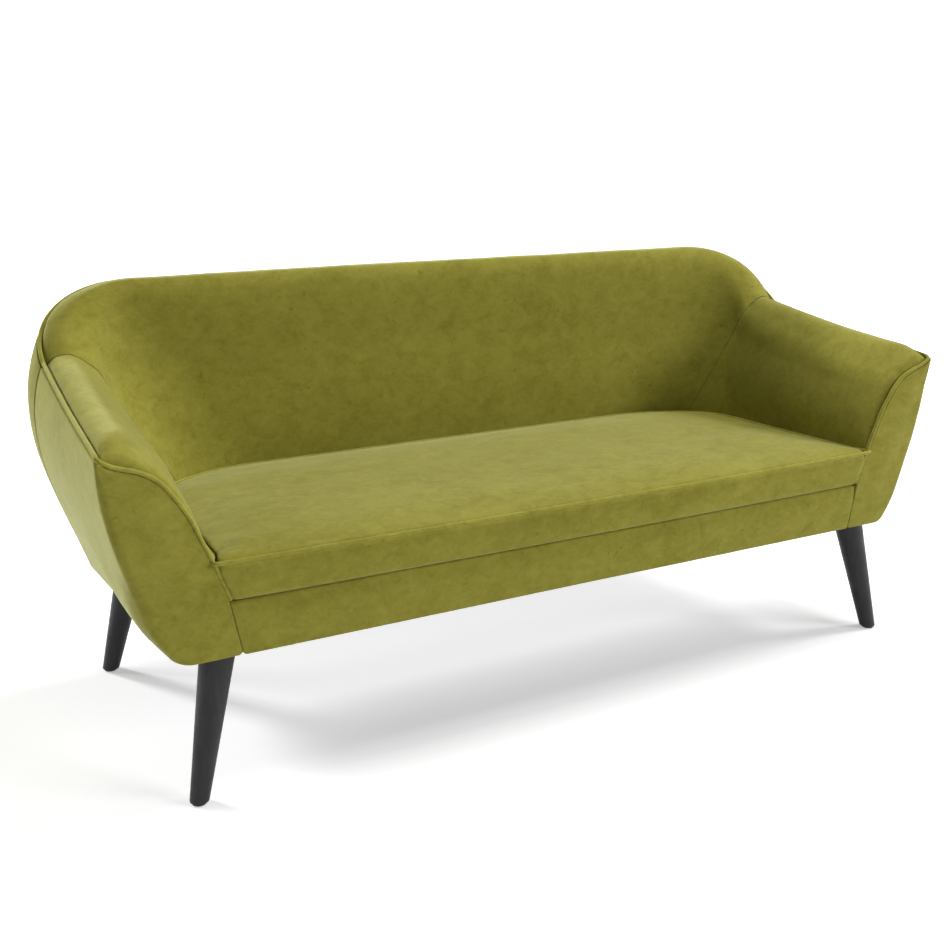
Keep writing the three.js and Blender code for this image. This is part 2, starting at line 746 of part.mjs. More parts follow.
// A point inside the arm, below the pad's face at s and row, at a given depth.
function underPad(s, row, depth) {
  const normal = surfaceNormal(padSurface, Math.max(s, 0.02), row);
  return rolledPad(s, row).addScaledVector(normal, -depth);
}

// Outline of a board that fills the arm's section at s, from bottomZ up.
function armBoardOutline(s, bottomZ, innerFoot) {
  const outerX = (v) => outerSkin(s, v).x - coverThickness - boardGap;
  const share = (z) => (z - baseHeight) / (rim(s).z - baseHeight);
  const low = share(bottomZ);
  const outer = [0, 0.25, 0.5, 0.75, 1].map((t) => {
    const v = lerp(low, 0.88, t);
    return [outerX(v), outerSkin(s, v).z];
  });
  const inner = [2.4, 3, 4, 5, 6].map((row) => {
    const point = underPad(s, row, padThickness + boardGap);
    return [point.x, point.z];
  });
  return [...outer, ...inner, ...innerFoot];
}

const rearBoardS = (rearBoardY + boardThickness / 2) / rimCornerY;
const blockTop = baseHeight + blockHeight + fit;
const padFootX = underPad(0, padRows - 1.02, padThickness + boardGap).x;
addPair('arm_front_board', plateXZ(
  armBoardOutline(0, blockTop, [
    [padFootX, railTop], [blockInner + blockMargin, railTop], [blockInner + blockMargin, blockTop],
  ]),
  frameFront,
  frameFront + boardThickness,
), timber);
const rearFootX = underPad(rearBoardS, padRows - 1.02, padThickness + boardGap).x;
addPair('arm_rear_board', plateXZ(
  armBoardOutline(rearBoardS, railTop + fit, [[rearFootX, railTop + fit]]),
  rearBoardY,
  rearBoardY + boardThickness,
), timber);

// The arm's top rail runs under the crown from board to board.
const crownLine = padLines[2];
const armRailEnds = [0, rearBoardS - 0.03];
const armRail = [frameFront + boardThickness + fit, rearBoardY - fit].map((y, end) => {
  const crown = crownLine(armRailEnds[end]);
  const x0 = crown.x - armRailWidth / 3;
  const z1 = crown.z - padThickness - armRailDrop;
  return [[0, 0], [1, 0], [1, 1], [0, 1]]
    .map(([i, j]) => v3(x0 + i * armRailWidth, y, z1 - (1 - j) * armRailHeight));
});
addPair('arm_top_rail', loopLoft(armRail), timber);

// ---- back frame ----------------------------------------------------------------------

const backRailTop = backHeight - backRailDrop;
for (const [name, x] of [['left', -postX], ['middle', 0], ['right', postX]]) {
  add(`back_post_${name}`, box(
    x - postWidth / 2, x + postWidth / 2, rearRailFront, rearRailBack,
    deckHeight, backRailTop - backRailHeight - fit,
  ), timber);
}
add('back_top_rail', box(
  -postX - postWidth, postX + postWidth, rearRailFront, rearRailBack,
  backRailTop - backRailHeight, backRailTop,
), timber);
for (let i = 0; i < strapCount; i += 1) {
  const z = lerp(seatHeight, backRailTop - backRailHeight, (i + 0.5) / strapCount);
  add(`back_strap_${i + 1}`, box(
    -postX - postWidth / 2, postX + postWidth / 2, strapFront, strapFront + strapThickness,
    z - strapWidth / 2, z + strapWidth / 2,
  ), webbing);
}

// ---- seat suspension -----------------------------------------------------------------

const clipInner = {
  front: frameFront + railThickness + fit + clipThickness,
  rear: rearRailFront - fit - clipThickness,
};
const springReach = ((springCount - 1) / 2) * springPitch;
const clipHalf = springReach + springWidth;
const clipTop = railTop - fit;
add('spring_clip_front', box(
  -clipHalf, clipHalf, clipInner.front - clipThickness, clipInner.front,
  clipTop - clipHeight, clipTop,
), steel);
add('spring_clip_rear', box(
  -clipHalf, clipHalf, clipInner.rear, clipInner.rear + clipThickness,
  clipTop - clipHeight, clipTop,
), steel);

// A zig-zag spring: it swings from side to side as it runs back, and arches a little.
function zigzag(x) {
  const start = clipInner.front + fit + springWireRadius;
  const end = clipInner.rear - fit - springWireRadius;
  const points = Array.from({ length: 2 * springBends + 1 }, (_, i) => {
    const t = i / (2 * springBends);
    const swing = Math.sin((Math.PI * i) / 2) * (springWidth / 2);
    const arch = springArch * Math.sin(Math.PI * t);
    return v3(x + swing, lerp(start, end, t), clipTop - springWireRadius - springArch + arch);
  });
  return bar(points, springWireRadius, 4 * springBends, 5);
}

for (let i = 0; i < springCount; i += 1) {
  add(`seat_spring_${i + 1}`, zigzag(i * springPitch - springReach), steel);
}

add('deck_cloth', box(
  -blockInner, blockInner, frameFront, rearRailBack,
  railTop + fit, railTop + fit + clothThickness,
), cloth);

// The dust cloth closes the underside and is cut round the legs.
const clothInset = hemRoll + coverThickness + boardGap;
const clothHalf = [0, 1, 1.33, 1.67, 2].map((s) => {
  const angle = (THREE.MathUtils.clamp(s - 1, 0, 1) * Math.PI) / 2;
  const inward = v3(-Math.cos(angle), -Math.sin(angle), 0);
  return baseEdge(s).addScaledVector(inward, clothInset).setY(
    Math.max(baseEdge(s).y - clothInset * Math.sin(angle), frameFront),
  );
});
const clothLoop = (z) => [
  ...clothHalf.map((point) => point.clone().setZ(z)),
  ...[...clothHalf].reverse().map((point) => v3(-point.x, point.y, z)),
];
const clothTop = baseHeight - fit;
const legCuts = legSpots.flatMap(({ topY }) => sides.map(({ sign }) => {
  const radius = legTopRadius + boardGap;
  return rod(
    v3(sign * legTopX, topY, baseHeight - clothInset),
    v3(sign * legTopX, topY, baseHeight + clothInset),
    radius,
    radius,
    16,
  );
}));
add('dust_cloth', cut(loopLoft([clothLoop(clothTop - clothThickness), clothLoop(clothTop)]),
  ...legCuts), cloth);

// The origin moves to the middle of the footprint.
const extent = new THREE.Box3().setFromObject(sofa);
sofa.position.y = -(extent.min.y + extent.max.y) / 2;

export default sofa;
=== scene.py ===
"""Visual model of the velvet sofa with wooden legs.

Shapes are worked out in millimetres with the origin in the middle of the arms' front
plane, x to the right, y towards the back and z up. Meshes are in metres, in the CAD's frame.
"""

import math

import bmesh
import bpy
import numpy as np

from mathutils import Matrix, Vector
from mathutils.geometry import delaunay_2d_cdt


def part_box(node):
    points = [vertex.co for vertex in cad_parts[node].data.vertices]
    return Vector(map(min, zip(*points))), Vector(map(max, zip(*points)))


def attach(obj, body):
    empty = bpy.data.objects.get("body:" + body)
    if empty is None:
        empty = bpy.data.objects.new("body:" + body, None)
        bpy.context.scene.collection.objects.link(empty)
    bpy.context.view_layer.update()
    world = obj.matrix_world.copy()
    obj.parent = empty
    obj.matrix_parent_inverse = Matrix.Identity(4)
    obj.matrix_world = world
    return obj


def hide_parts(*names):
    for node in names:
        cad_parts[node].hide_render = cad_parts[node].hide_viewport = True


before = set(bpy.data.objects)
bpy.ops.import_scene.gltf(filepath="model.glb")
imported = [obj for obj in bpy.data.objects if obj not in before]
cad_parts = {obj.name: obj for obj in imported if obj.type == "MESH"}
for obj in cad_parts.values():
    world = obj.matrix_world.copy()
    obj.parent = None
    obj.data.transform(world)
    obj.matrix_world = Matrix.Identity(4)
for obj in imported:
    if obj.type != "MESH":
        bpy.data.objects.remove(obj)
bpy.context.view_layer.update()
scene = bpy.context.scene
FRONT_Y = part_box("front_apron")[0].y

# ---- camera ----

CAMERA_LENS, CAMERA_SENSOR = 46.72, 36
CAMERA_PLACE = (-1.2871, FRONT_Y - 1.8321, 1.0871)
LOOKS_DOWN, LOOKS_RIGHT = 15.447, 29.405         # degrees

camera_data = bpy.data.cameras.new("camera")
camera_data.sensor_width = CAMERA_SENSOR
camera_data.lens = CAMERA_LENS
camera_data.clip_end = 200
camera = bpy.data.objects.new("camera", camera_data)
camera.location = CAMERA_PLACE
camera.rotation_euler = (math.radians(90 - LOOKS_DOWN), 0, math.radians(-LOOKS_RIGHT))
scene.collection.objects.link(camera)
scene.camera = camera

# ---- sizes in millimetres, as in the CAD model ----

SEAT_HALF, ARM_WIDTH, SEAT_Z, SEAT_DEPTH = 734, 175, 423, 565
ARM_FRONT_Z, ARM_REAR_Z, BACK_Z, BACK_THICK, BASE_Z = 611, 676, 800, 80, 250
ARM_TIP = SEAT_HALF + ARM_WIDTH
ARM_REAR = ARM_TIP - 20
SEAT_SIDE = SEAT_HALF - 29
RIM_BACK_Y = SEAT_DEPTH + BACK_THICK
RIM_CORNER_X, RIM_CORNER_Y = ARM_REAR - 186, RIM_BACK_Y - 165
SEAT_CORNER_X, SEAT_CORNER_Y = SEAT_SIDE - 255, SEAT_DEPTH - 165
BASE_FRONT, BASE_SIDE, BASE_BACK_Y = SEAT_HALF + 63, SEAT_HALF + 82, RIM_BACK_Y - 7
CUSHION_THICK = 78
CUSHION_GAP = 5                 # room between the cushion and the pads
SIDE_LEAN = 26                  # how far the cushion and the pads narrow down to the deck
FRONT_LEAN = 3.5                # and the cushion's front
DECK_Z = SEAT_Z - CUSHION_THICK
APRON_HALF = 691
PAD_FRONT, PAD_ROLL = 7, 104    # where the pads start, and the length of their front roll
PAD_THICK = 13
PAD_FOOT_GAP = 8.4              # the pads' sections end this far above the deck
COVER_THICK = 8.0
CORD, TUBE_SIDES = 3.9, 12      # the piping's radius and the sides of its section
CORNER_OUT, CORNER_DOWN = 6, 4  # how far the rim's rear corners are pushed out and down
SEAM_GAP = 0.0005               # half of a seam, as a share of the shell curve
SKIN_FRONT, SKIN_SIDE, SKIN_BACK, SKIN_CORNER = 22, 40, 44, 12    # swell of the covers
HEM_ROLL = 12
CLOTH_THICK = 0.9
LEG_TOP_X, LEG_FOOT_X = 726, 783
LEG_ENDS = {"front": (33, 0), "rear": (581, 614)}    # y of each leg's top and foot
LEG_TOP_Z, LEG_BOTTOM_Z = 252, 3.4
LEG_TOP_RADIUS, LEG_FOOT_RADIUS = 30.3, 16.3
SIDES = (("left", -1), ("right", 1))
PI = math.pi


# ---- numbers ----

def smooth(x, low=0.0, high=1.0):
    """0 below low, 1 above high, and a soft step between them."""
    t = np.clip((np.asarray(x, float) - low) / (high - low), 0, 1)
    return t * t * (3 - 2 * t)


def mix(a, b, t):
    return a + (b - a) * t


def edge_roll(d, r):
    """How far a rounded edge of radius r has come in at a distance d from its end."""
    d = np.clip(d, 0, r)
    return r - np.sqrt(np.maximum(r * r - (r - d) ** 2, 0))


def lengths(path):
    """Distance of each point along the path from its start."""
    return np.r_[0, np.cumsum(np.linalg.norm(np.diff(path, axis=0), axis=1))]


def read_off(path, place, t):
    """Points at t on a path whose own points are at the places."""
    return np.stack([np.interp(t, place, path[:, k]) for k in range(path.shape[1])], -1)


def hump(x, middle, width):
    """1 at the middle, and falling off smoothly on both sides."""
    return np.exp(-(((x - middle) / width) ** 2))


def spline(knots, values, t):
    """A smooth curve through values at the knots, read at t."""
    knots, values, t = (np.asarray(a, float) for a in (knots, values, t))
    step = np.diff(knots)
    slope = np.diff(values, axis=0) / step[:, None]
    tangent = np.empty_like(values)
    weights = (step[:-1] + step[1:])[:, None]
    tangent[1:-1] = (slope[:-1] * step[1:, None] + slope[1:] * step[:-1, None]) / weights
    tangent[0], tangent[-1] = slope[0], slope[-1]
    k = np.clip(np.searchsorted(knots, t, side="right") - 1, 0, len(knots) - 2)
    h = step[k][:, None]
    u = ((t - knots[k]) / step[k])[:, None]
    return (
        (2 * u**3 - 3 * u**2 + 1) * values[k]
        + (u**3 - 2 * u**2 + u) * h * tangent[k]
        + (3 * u**2 - 2 * u**3) * values[k + 1]
        + (u**3 - u**2) * h * tangent[k + 1]
    )


def clustered(length, radius, pitch, end=True):
    """Places from 0 to length, about pitch apart and closer on the rounded ends."""
    low = radius * (1 - np.cos(np.linspace(0, PI / 2, 7)))
    high = length - low[::-1] if end else np.array([float(length)])
    count = max(2, int(round((high[0] - low[-1]) / pitch)))
    middle = np.linspace(low[-1], high[0], count + 1)[1:-1]
    return np.concatenate([low, middle, high])


WAVES = np.random.default_rng(7)
WAVE_TURNS = WAVES.normal(size=(18, 3))
WAVE_TURNS /= np.linalg.norm(WAVE_TURNS, axis=1)[:, None]
WAVE_LENGTHS = WAVES.uniform(0.6, 1.7, 18)
WAVE_STARTS = WAVES.uniform(0, 2 * PI, 18)


def ripple(points, wavelength):
    """A smooth irregular field between about -1 and 1."""
    phase = points @ (WAVE_TURNS / (wavelength * WAVE_LENGTHS)[:, None]).T * 2 * PI
    return np.sin(phase + WAVE_STARTS).sum(-1) / 6


# ---- curves of the shell ----

def corner_angle(s):
    """Angle round the rear corner at s, from 0 to a quarter turn."""
    return np.clip(np.asarray(s, float) - 1, 0, 1) * PI / 2


def shell(front, side, back, s):
    """Runs from the arm's front at s = 0 by the rear corner, 1 to 2, to the middle, 3."""
    front, side, back = (np.asarray(p, float) for p in (front, side, back))
    s = np.asarray(s, float)[..., None]
    along = np.clip(s, 0, 1)
    rise = 0.55 * along + 0.45 * along**2
    arm = front + (side - front) * np.concatenate([along, along, rise], -1)
    angle = corner_angle(s)
    x = mix(back[..., :1], side[..., :1], np.cos(angle)) * (1 - np.clip(s - 2, 0, 1))
    yz = mix(side[..., 1:], back[..., 1:], np.sin(angle))
    return np.where(s <= 1, arm, np.concatenate([x, yz], -1))


def rim(s):
    """The covers' top edge."""
    line = shell(
        (ARM_TIP, 0, ARM_FRONT_Z),
        (ARM_REAR, RIM_CORNER_Y, ARM_REAR_Z),
        (RIM_CORNER_X, RIM_BACK_Y, BACK_Z),
        s,
    )
    corner = np.sin(2 * corner_angle(s))
    line[..., 2] -= CORNER_DOWN * corner
    return line + outward(s) * CORNER_OUT * corner[..., None]


def base_edge(s):
    return shell(
        (BASE_FRONT, 0, BASE_Z),
        (BASE_SIDE, BASE_BACK_Y - 100, BASE_Z),
        (BASE_SIDE - 100, BASE_BACK_Y, BASE_Z),
        s,
    )


def outward(s):
    """Level direction out of the shell at s."""
    angle = corner_angle(s)
    return np.stack([np.cos(angle), np.sin(angle), np.zeros_like(angle)], -1)


def outer_skin(s, v):
    """The outer surface: v = 0 at the base edge and 1 at the rim."""
    s, v = np.broadcast_arrays(np.asarray(s, float), np.asarray(v, float))
    point = mix(base_edge(s), rim(s), v[..., None])
    angle = corner_angle(s)
    even, high = 4 * v * (1 - v), 6.75 * v * v * (1 - v)
    swell = np.where(s <= 1, mix(SKIN_FRONT, SKIN_SIDE, s) + 14 * s * (1 - s),
                     mix(SKIN_SIDE, SKIN_BACK, s - 1))
    swell = np.where(s > 2, SKIN_BACK, swell)
    profile = mix(even, high, 0.6 * np.clip(s, 0, 1))
    depth = swell * profile + SKIN_CORNER * np.sin(2 * angle) * high
    depth = depth + (1 - smooth(s, 0, 0.5)) * (3 * even + 8 * hump(v, 0.13, 0.15))
    arm_side = smooth(s, 0, 0.1) * (1 - smooth(s, 0.25, 0.6))
    depth = depth + 12 * arm_side * hump(v, 0.24, 0.18)
    depth = depth - edge_roll(point[..., 2] - BASE_Z, HEM_ROLL)
    return point + outward(s) * depth[..., None]


# ---- sections of the pads ----

# Each pair is a share of the pad's width and of its height above the seat, from the rim
# down. A section ends at its foot, a little above the deck.
FOOT_DROP = CUSHION_THICK - PAD_FOOT_GAP


def foot_pair(width, height, lean):
    """The last pair of a section."""
    return [-lean * FOOT_DROP / CUSHION_THICK / width, -FOOT_DROP / (height - SEAT_Z)]


ARM_FRONT = np.array([[0.95, 0.985], [0.9, 1.075], [0.766, 1.125], [0.377, 0.867],
                      [0.16, 0.569], [0.05, 0.303], [0, 0.01],
                      foot_pair(ARM_WIDTH, ARM_FRONT_Z, SIDE_LEAN)])
ARM_BACK = np.array([[0.953, 0.99], [0.89, 1.05], [0.755, 1.078], [0.5, 0.967],
                     [0.293, 0.66], [0.14, 0.383], [0, 0.008],
                     foot_pair(ARM_REAR - SEAT_SIDE, ARM_REAR_Z, SIDE_LEAN)])
BACK = np.array([[0.9, 0.997], [0.78, 1.03], [0.44, 1.043], [0.15, 0.99],
                 [0.11, 0.576], [0.03, 0.27], [0, 0.005],
                 foot_pair(BACK_THICK, BACK_Z, 0)])
CORNER_SWELL = np.array([0, 1, 1, 1, 0.6, 0, 0, 0.0])
ROW_AT = np.array([0, 18, 44, 101, 204, 285, 370, 443.0])


def section_controls():
    """For each row of a pad: front, side and back points, swell and seam."""
    share = np.clip(ARM_BACK[:, 1], 0, 1)
    up = np.clip(BACK[:, 1], 0, 1)
    corner_x = np.where(np.arange(8) > 0, ARM_REAR - 225, RIM_CORNER_X)
    return np.stack([
        SEAT_HALF + ARM_WIDTH * ARM_FRONT[:, 0],
        np.full(8, PAD_FRONT),
        mix(SEAT_Z, ARM_FRONT_Z, ARM_FRONT[:, 1]),
        mix(SEAT_SIDE, ARM_REAR, ARM_BACK[:, 0]),
        mix(SEAT_CORNER_Y, RIM_CORNER_Y, np.sqrt(share)),
        mix(SEAT_Z, ARM_REAR_Z, ARM_BACK[:, 1]),
        mix(SEAT_CORNER_X, corner_x, up),
        SEAT_DEPTH + BACK_THICK * BACK[:, 0],
        mix(SEAT_Z, BACK_Z, BACK[:, 1]),
        CORNER_SWELL,
        1 + 0.43 * (1 - share),
    ], -1)


CONTROLS = section_controls()

# The seam between the arm's pad and its front facing, from the tip down, as x and z.
SEWN = np.array([[901, 607], [893.5, 599.5], [877, 592], [858, 586], [840, 579],
                 [825, 570.5], [812, 559], [793, 534], [771, 497], [755, 459],
                 [739.5, 425], [712, 353.4]])
SEWN_AT = lengths(SEWN)


def sewn_edge(places):
    return spline(SEWN_AT, SEWN, np.asarray(places) * SEWN_AT[-1] / ROW_AT[-1])


def rows_at(places):
    """Row controls at places down the pad: points, swell, seam, sewn x and z, and roll."""
    roll = PAD_ROLL * mix(0.4, 1, smooth(places, 0, 100))
    return np.column_stack([spline(ROW_AT, CONTROLS, places), sewn_edge(places), roll])


def pad_points(s, c, swell=20, lift=4):
    """The pad's face for columns s and row controls c, its front rolled to the seam."""
    p = shell(c[:, 0:3], c[:, 3:6], c[:, 6:9], s)
    corner = np.sin(2 * corner_angle(s))
    p = p + outward(s) * (CORNER_OUT * corner * smooth(p[..., 2], 560, 700))[..., None]
    corner = c[:, 9] * corner
    p[..., 0] += swell * corner
    p[..., 2] += lift * corner * smooth(p[..., 2], 640, 700)
    along = np.clip((p[..., 1] - PAD_FRONT) / c[:, 13], 0, 1)
    edge = 0.5 * np.sqrt(1 - (1 - np.clip(along / 0.12, 0, 1)) ** 2)
    opened = edge + (1 - edge) * np.sin(PI / 2 * along)
    p[..., 0] = mix(c[:, 11], p[..., 0], opened)
    p[..., 2] = mix(c[:, 12], p[..., 2], opened)
    return p


# ---- meshes ----

def normals_of(grid, toward):
    """Unit normals of a grid of points, on the side of the point toward."""
    a = np.gradient(grid, axis=0)
    b = np.gradient(grid, axis=1)
    n = np.cross(a, b)
    n /= np.maximum(np.linalg.norm(n, axis=-1), 1e-9)[..., None]
    if np.sum((np.asarray(toward, float) - grid) * n) < 0:
        n = -n
    return n


def from_ends(grid, axis):
    """Distance of each point along the grid from the first and the last line."""
    step = np.linalg.norm(np.diff(grid, axis=axis), axis=-1)
    pad = [(0, 0), (0, 0)]
    pad[axis] = (1, 0)
    first = np.pad(np.cumsum(step, axis=axis), pad)
    total = np.take(first, [-1], axis=axis)
    return first, total - first


def grid_faces(columns, rows, start=0, flip=False):
    i, j = np.meshgrid(np.arange(columns - 1), np.arange(rows - 1), indexing="ij")
    a = (start + i * rows + j).ravel()
    quads = np.stack([a, a + rows, a + rows + 1, a + 1], -1)
    return quads[:, ::-1] if flip else quads


def to_metres(points):
    out = np.array(points, float).reshape(-1, 3) / 1000
    out[:, 1] += FRONT_Y
    return out


def make(name, points, faces, material, sharp=40):
    """A mesh object from points in millimetres, with edges over the angle kept sharp."""
    mesh = bpy.data.meshes.new(name)
    mesh.from_pydata(to_metres(points).tolist(), [], [list(map(int, f)) for f in faces])
    shaped = bmesh.new()
    shaped.from_mesh(mesh)
    bmesh.ops.remove_doubles(shaped, verts=shaped.verts, dist=2e-6)
    bmesh.ops.dissolve_degenerate(shaped, edges=shaped.edges, dist=1e-6)
    bmesh.ops.recalc_face_normals(shaped, faces=shaped.faces)
    shaped.to_mesh(mesh)
    shaped.free()
    mesh.shade_smooth()
    mesh.set_sharp_from_angle(angle=math.radians(sharp))
    mesh.materials.append(material)
    obj = bpy.data.objects.new(name, mesh)
    scene.collection.objects.link(obj)
    return obj


def closed_panel(face, hidden):
    """Points and faces of a solid between two grids of the same size."""
    columns, rows = face.shape[:2]
    n = columns * rows
    points = np.concatenate([face.reshape(-1, 3), hidden.reshape(-1, 3)])
    faces = [grid_faces(columns, rows), grid_faces(columns, rows, n, flip=True)]
    i = np.arange(columns - 1)
    j = np.arange(rows - 1)
    for at, step in ((i * rows, rows), (i * rows + rows - 1, rows),
                     (j, 1), ((columns - 1) * rows + j, 1)):
        faces.append(np.stack([at, at + n, at + n + step, at + step], -1))
    return points, np.concatenate(faces)


def tube_points(path, radius, closed):
    """Rings of points round a path that don't twist."""
    if closed:
        tangent = np.roll(path, -1, 0) - np.roll(path, 1, 0)
    else:
        tangent = np.gradient(path, axis=0)
    tangent /= np.linalg.norm(tangent, axis=1)[:, None]
    up = np.array([0.0, 0.0, 1.0])
    if abs(tangent[0] @ up) > 0.9:
        up = np.array([0.0, -1.0, 0.0])
    across = np.empty_like(path)
    current = up
    for i, t in enumerate(tangent):
        current = current - t * (current @ t)
        current /= np.linalg.norm(current)
        across[i] = current
    if closed:
        left = across[0] - tangent[-1] * (across[0] @ tangent[-1])
        turn = math.atan2(np.cross(across[-1], left) @ tangent[-1], across[-1] @ left)
        share = np.linspace(0, turn, len(path))[:, None]
        side = np.cross(tangent, across)
        across = across * np.cos(share) + side * np.sin(share)
    side = np.cross(tangent, across)
    angle = np.linspace(0, 2 * PI, TUBE_SIDES, endpoint=False)
    ring = across[:, None] * np.cos(angle)[:, None] + side[:, None] * np.sin(angle)[:, None]
    return path[:, None] + ring * radius[:, None, None]


def loop_faces(loops, count, closed=False):
    """Faces between loops of count points, in a ring or with a cap at each end."""
    k, i = np.meshgrid(np.arange(loops if closed else loops - 1), np.arange(count),
                       indexing="ij")
    above, beside = (k + 1) % loops, (i + 1) % count
    quads = np.stack([k * count + i, k * count + beside,
                      above * count + beside, above * count + i], -1)
    faces = quads.reshape(-1, 4).tolist()
    if not closed:
        faces += [list(range(count))[::-1], list(range((loops - 1) * count, loops * count))]
    return faces


def tube(path, radius, closed=False):
    """Points and faces of a round bar along the path, with domed ends if it is open."""
    path = np.asarray(path, float)
    radius = np.broadcast_to(np.asarray(radius, float), len(path)).copy()
    if not closed:
        for _ in range(2):
            way = path[-1] - path[-2]
            way /= np.linalg.norm(way)
            tips = path[-1] + way * radius[-1] * np.array([[0.5], [0.87], [1]])
            path = np.vstack([path, tips])[::-1]
            radius = np.r_[radius, radius[-1] * np.array([0.87, 0.5, 0.01])][::-1]
    rings = tube_points(path, radius, closed)
    return rings.reshape(-1, 3), loop_faces(len(path), TUBE_SIDES, closed)


def resample(path, pitch, closed=False):
    """The same path with points about pitch apart."""
    path = np.asarray(path, float)
    if closed:
        path = np.vstack([path, path[:1]])
    place = lengths(path)
    count = max(3, int(round(place[-1] / pitch)))
    out = read_off(path, place, np.linspace(0, place[-1], count + 1))
    return out[:-1] if closed else out


def relax(path, times, closed=False):
    """Rounds a path's corners."""
    path = np.array(path, float)
    for _ in range(times):
        if closed:
            path = (np.roll(path, 1, 0) + 2 * path + np.roll(path, -1, 0)) / 4
        else:
            path[1:-1] = (path[:-2] + 2 * path[1:-1] + path[2:]) / 4
    return path


def mirrored(points, sign):
    return np.asarray(points, float) * [sign, 1, 1]


def dress(piece, body, slot, *nodes):
    """Puts the piece on its body in place of its CAD nodes. The slot is not used."""
    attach(piece, body)
    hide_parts(*nodes)


# ---- materials ----

class Nodes:
    """Shorthand for building the nodes of a material or the world."""

    def __init__(self, owner, output="ShaderNodeOutputMaterial"):
        if isinstance(owner, str):
            owner = bpy.data.materials.new(owner)
        owner.use_nodes = True
        self.owner = owner
        self.tree = owner.node_tree
        self.tree.nodes.clear()
        self.out = self.add(output)

    def add(self, kind, sockets=(), **settings):
        """A node with its settings, and a constant or a link for each of the sockets.

        An underscore in a socket's name stands for a space.
        """
        node = self.tree.nodes.new(kind)
        for key, value in settings.items():
            setattr(node, key, value)
        for key, value in dict(sockets).items():
            key = key.replace("_", " ") if isinstance(key, str) else key
            if isinstance(value, bpy.types.NodeSocket):
                self.link(value, node.inputs[key])
            else:
                node.inputs[key].default_value = value
        return node

    def link(self, source, target):
        self.tree.links.new(source, target)

    def shader(self, **sockets):
        """Ends a material with a Principled shader, and returns the material."""
        node = self.add("ShaderNodeBsdfPrincipled", sockets)
        self.link(node.outputs[0], self.out.inputs[0])
        return self.owner

    def seen(self):
        """1 for rays that look at the surface, and 0 for its light on other things."""
        ray = self.add("ShaderNodeLightPath").outputs
        straight = self.math("MAXIMUM", ray["Is Camera Ray"], ray["Is Glossy Ray"])
        return self.math("MAXIMUM", straight, ray["Is Transmission Ray"])

    def place(self, scale=(1, 1, 1)):
        where = self.add("ShaderNodeTexCoord").outputs["Object"]
        return self.add("ShaderNodeMapping", {"Vector": where, "Scale": scale}).outputs[0]

    def noise(self, scale, detail=3.0, rough=0.5, distort=0.0, stretch=(1, 1, 1)):
        return self.add("ShaderNodeTexNoise", {
            "Vector": self.place(stretch), "Scale": scale, "Detail": detail,
            "Roughness": rough, "Distortion": distort,
        }).outputs["Fac"]

    def wave(self, direction, stretch, **sockets):
        return self.add("ShaderNodeTexWave", {"Vector": self.place(stretch), **sockets},
                        wave_type="BANDS", bands_direction=direction).outputs["Fac"]

    def math(self, operation, *values):
        return self.add("ShaderNodeMath", enumerate(values), operation=operation).outputs[0]

    def spread(self, value, low, high, to_low=0.0, to_high=1.0):
        return self.add("ShaderNodeMapRange", enumerate((value, low, high, to_low, to_high)),
                        interpolation_type="SMOOTHSTEP").outputs[0]

    def ramp(self, value, stops):
        node = self.add("ShaderNodeValToRGB", {0: value})
        band = node.color_ramp
        for element, (at, colour) in zip(band.elements, (stops[0], stops[-1])):
            element.position, element.color = at, (*colour, 1)
        for at, colour in stops[1:-1]:
            band.elements.new(at).color = (*colour, 1)
        return node.outputs[0]

    def bump(self, height, strength, distance, **below):
        return self.add("ShaderNodeBump", {
            "Strength": strength, "Distance": distance, "Height": height, **below,
        }).outputs[0]


def srgb(r, g, b):
    """A linear colour from 8-bit sRGB numbers."""
    return tuple(
        c / 12.92 if c <= 0.04045 else ((c + 0.055) / 1.055) ** 2.4
        for c in (r / 255, g / 255, b / 255)
    )


VELVET_STOPS = ((0.36, (0.232, 0.211, 0.029)), (0.5, (0.300, 0.276, 0.045)),
                (0.64, (0.356, 0.330, 0.060)))


def velvet_material(name, shade=1.0):
    """Short-pile velvet: mottled where the nap lies differently, with a pale sheen."""
    m = Nodes(name)
    broad = m.noise(5, 2, 0.5, 0.4)
    patches = m.noise(30, 4, 0.6, 0.8, (0.75, 1, 1))
    strokes = m.noise(90, 4, 0.65, 1.0, (0.75, 1.1, 1))
    pile = m.noise(1400, 2, 0.6)
    fleck = m.spread(m.noise(75, 2, 0.6, 0.6), 0.36, 0.25)
    where = m.spread(m.noise(9, 1, 0.5), 0.42, 0.62)
    value = 0.0
    for part, weight in ((broad, 0.16), (patches, 0.38), (strokes, 0.32), (pile, 0.14),
                         (m.math("MULTIPLY", fleck, where), -0.2)):
        value = m.math("MULTIPLY_ADD", part, weight, value)
    # A shade above 1 paints the velvet lighter all over.
    stops = [(at, [c * shade for c in colour]) for at, colour in VELVET_STOPS]
    return m.shader(
        Base_Color=m.ramp(value, stops),
        Roughness=m.spread(patches, 0.3, 0.7, 0.82, 0.96),
        Specular_IOR_Level=0.0, Sheen_Weight=0.5, Sheen_Roughness=0.4,
        Sheen_Tint=(0.9, 0.95, 0.66, 1),
        Normal=m.bump(pile, 0.3, 0.0004, Normal=m.bump(strokes, 0.22, 0.0012)),
    )


def lacquer_material(name):
    """Black satin lacquer over turned wood: faint grain runs up the leg."""
    m = Nodes(name)
    grain = m.noise(90, 4, 0.6, 0.5, (1, 1, 0.07))
    return m.shader(
        Base_Color=m.ramp(grain, [(0.3, srgb(23, 23, 24)), (0.52, srgb(31, 31, 32)),
                                  (0.75, srgb(41, 41, 42))]),
        Roughness=m.spread(m.noise(35, 3), 0.3, 0.7, 0.42, 0.58),
        Specular_IOR_Level=0.3, Coat_Weight=0.05, Coat_Roughness=0.3,
        Normal=m.bump(grain, 0.16, 0.0005),
    )


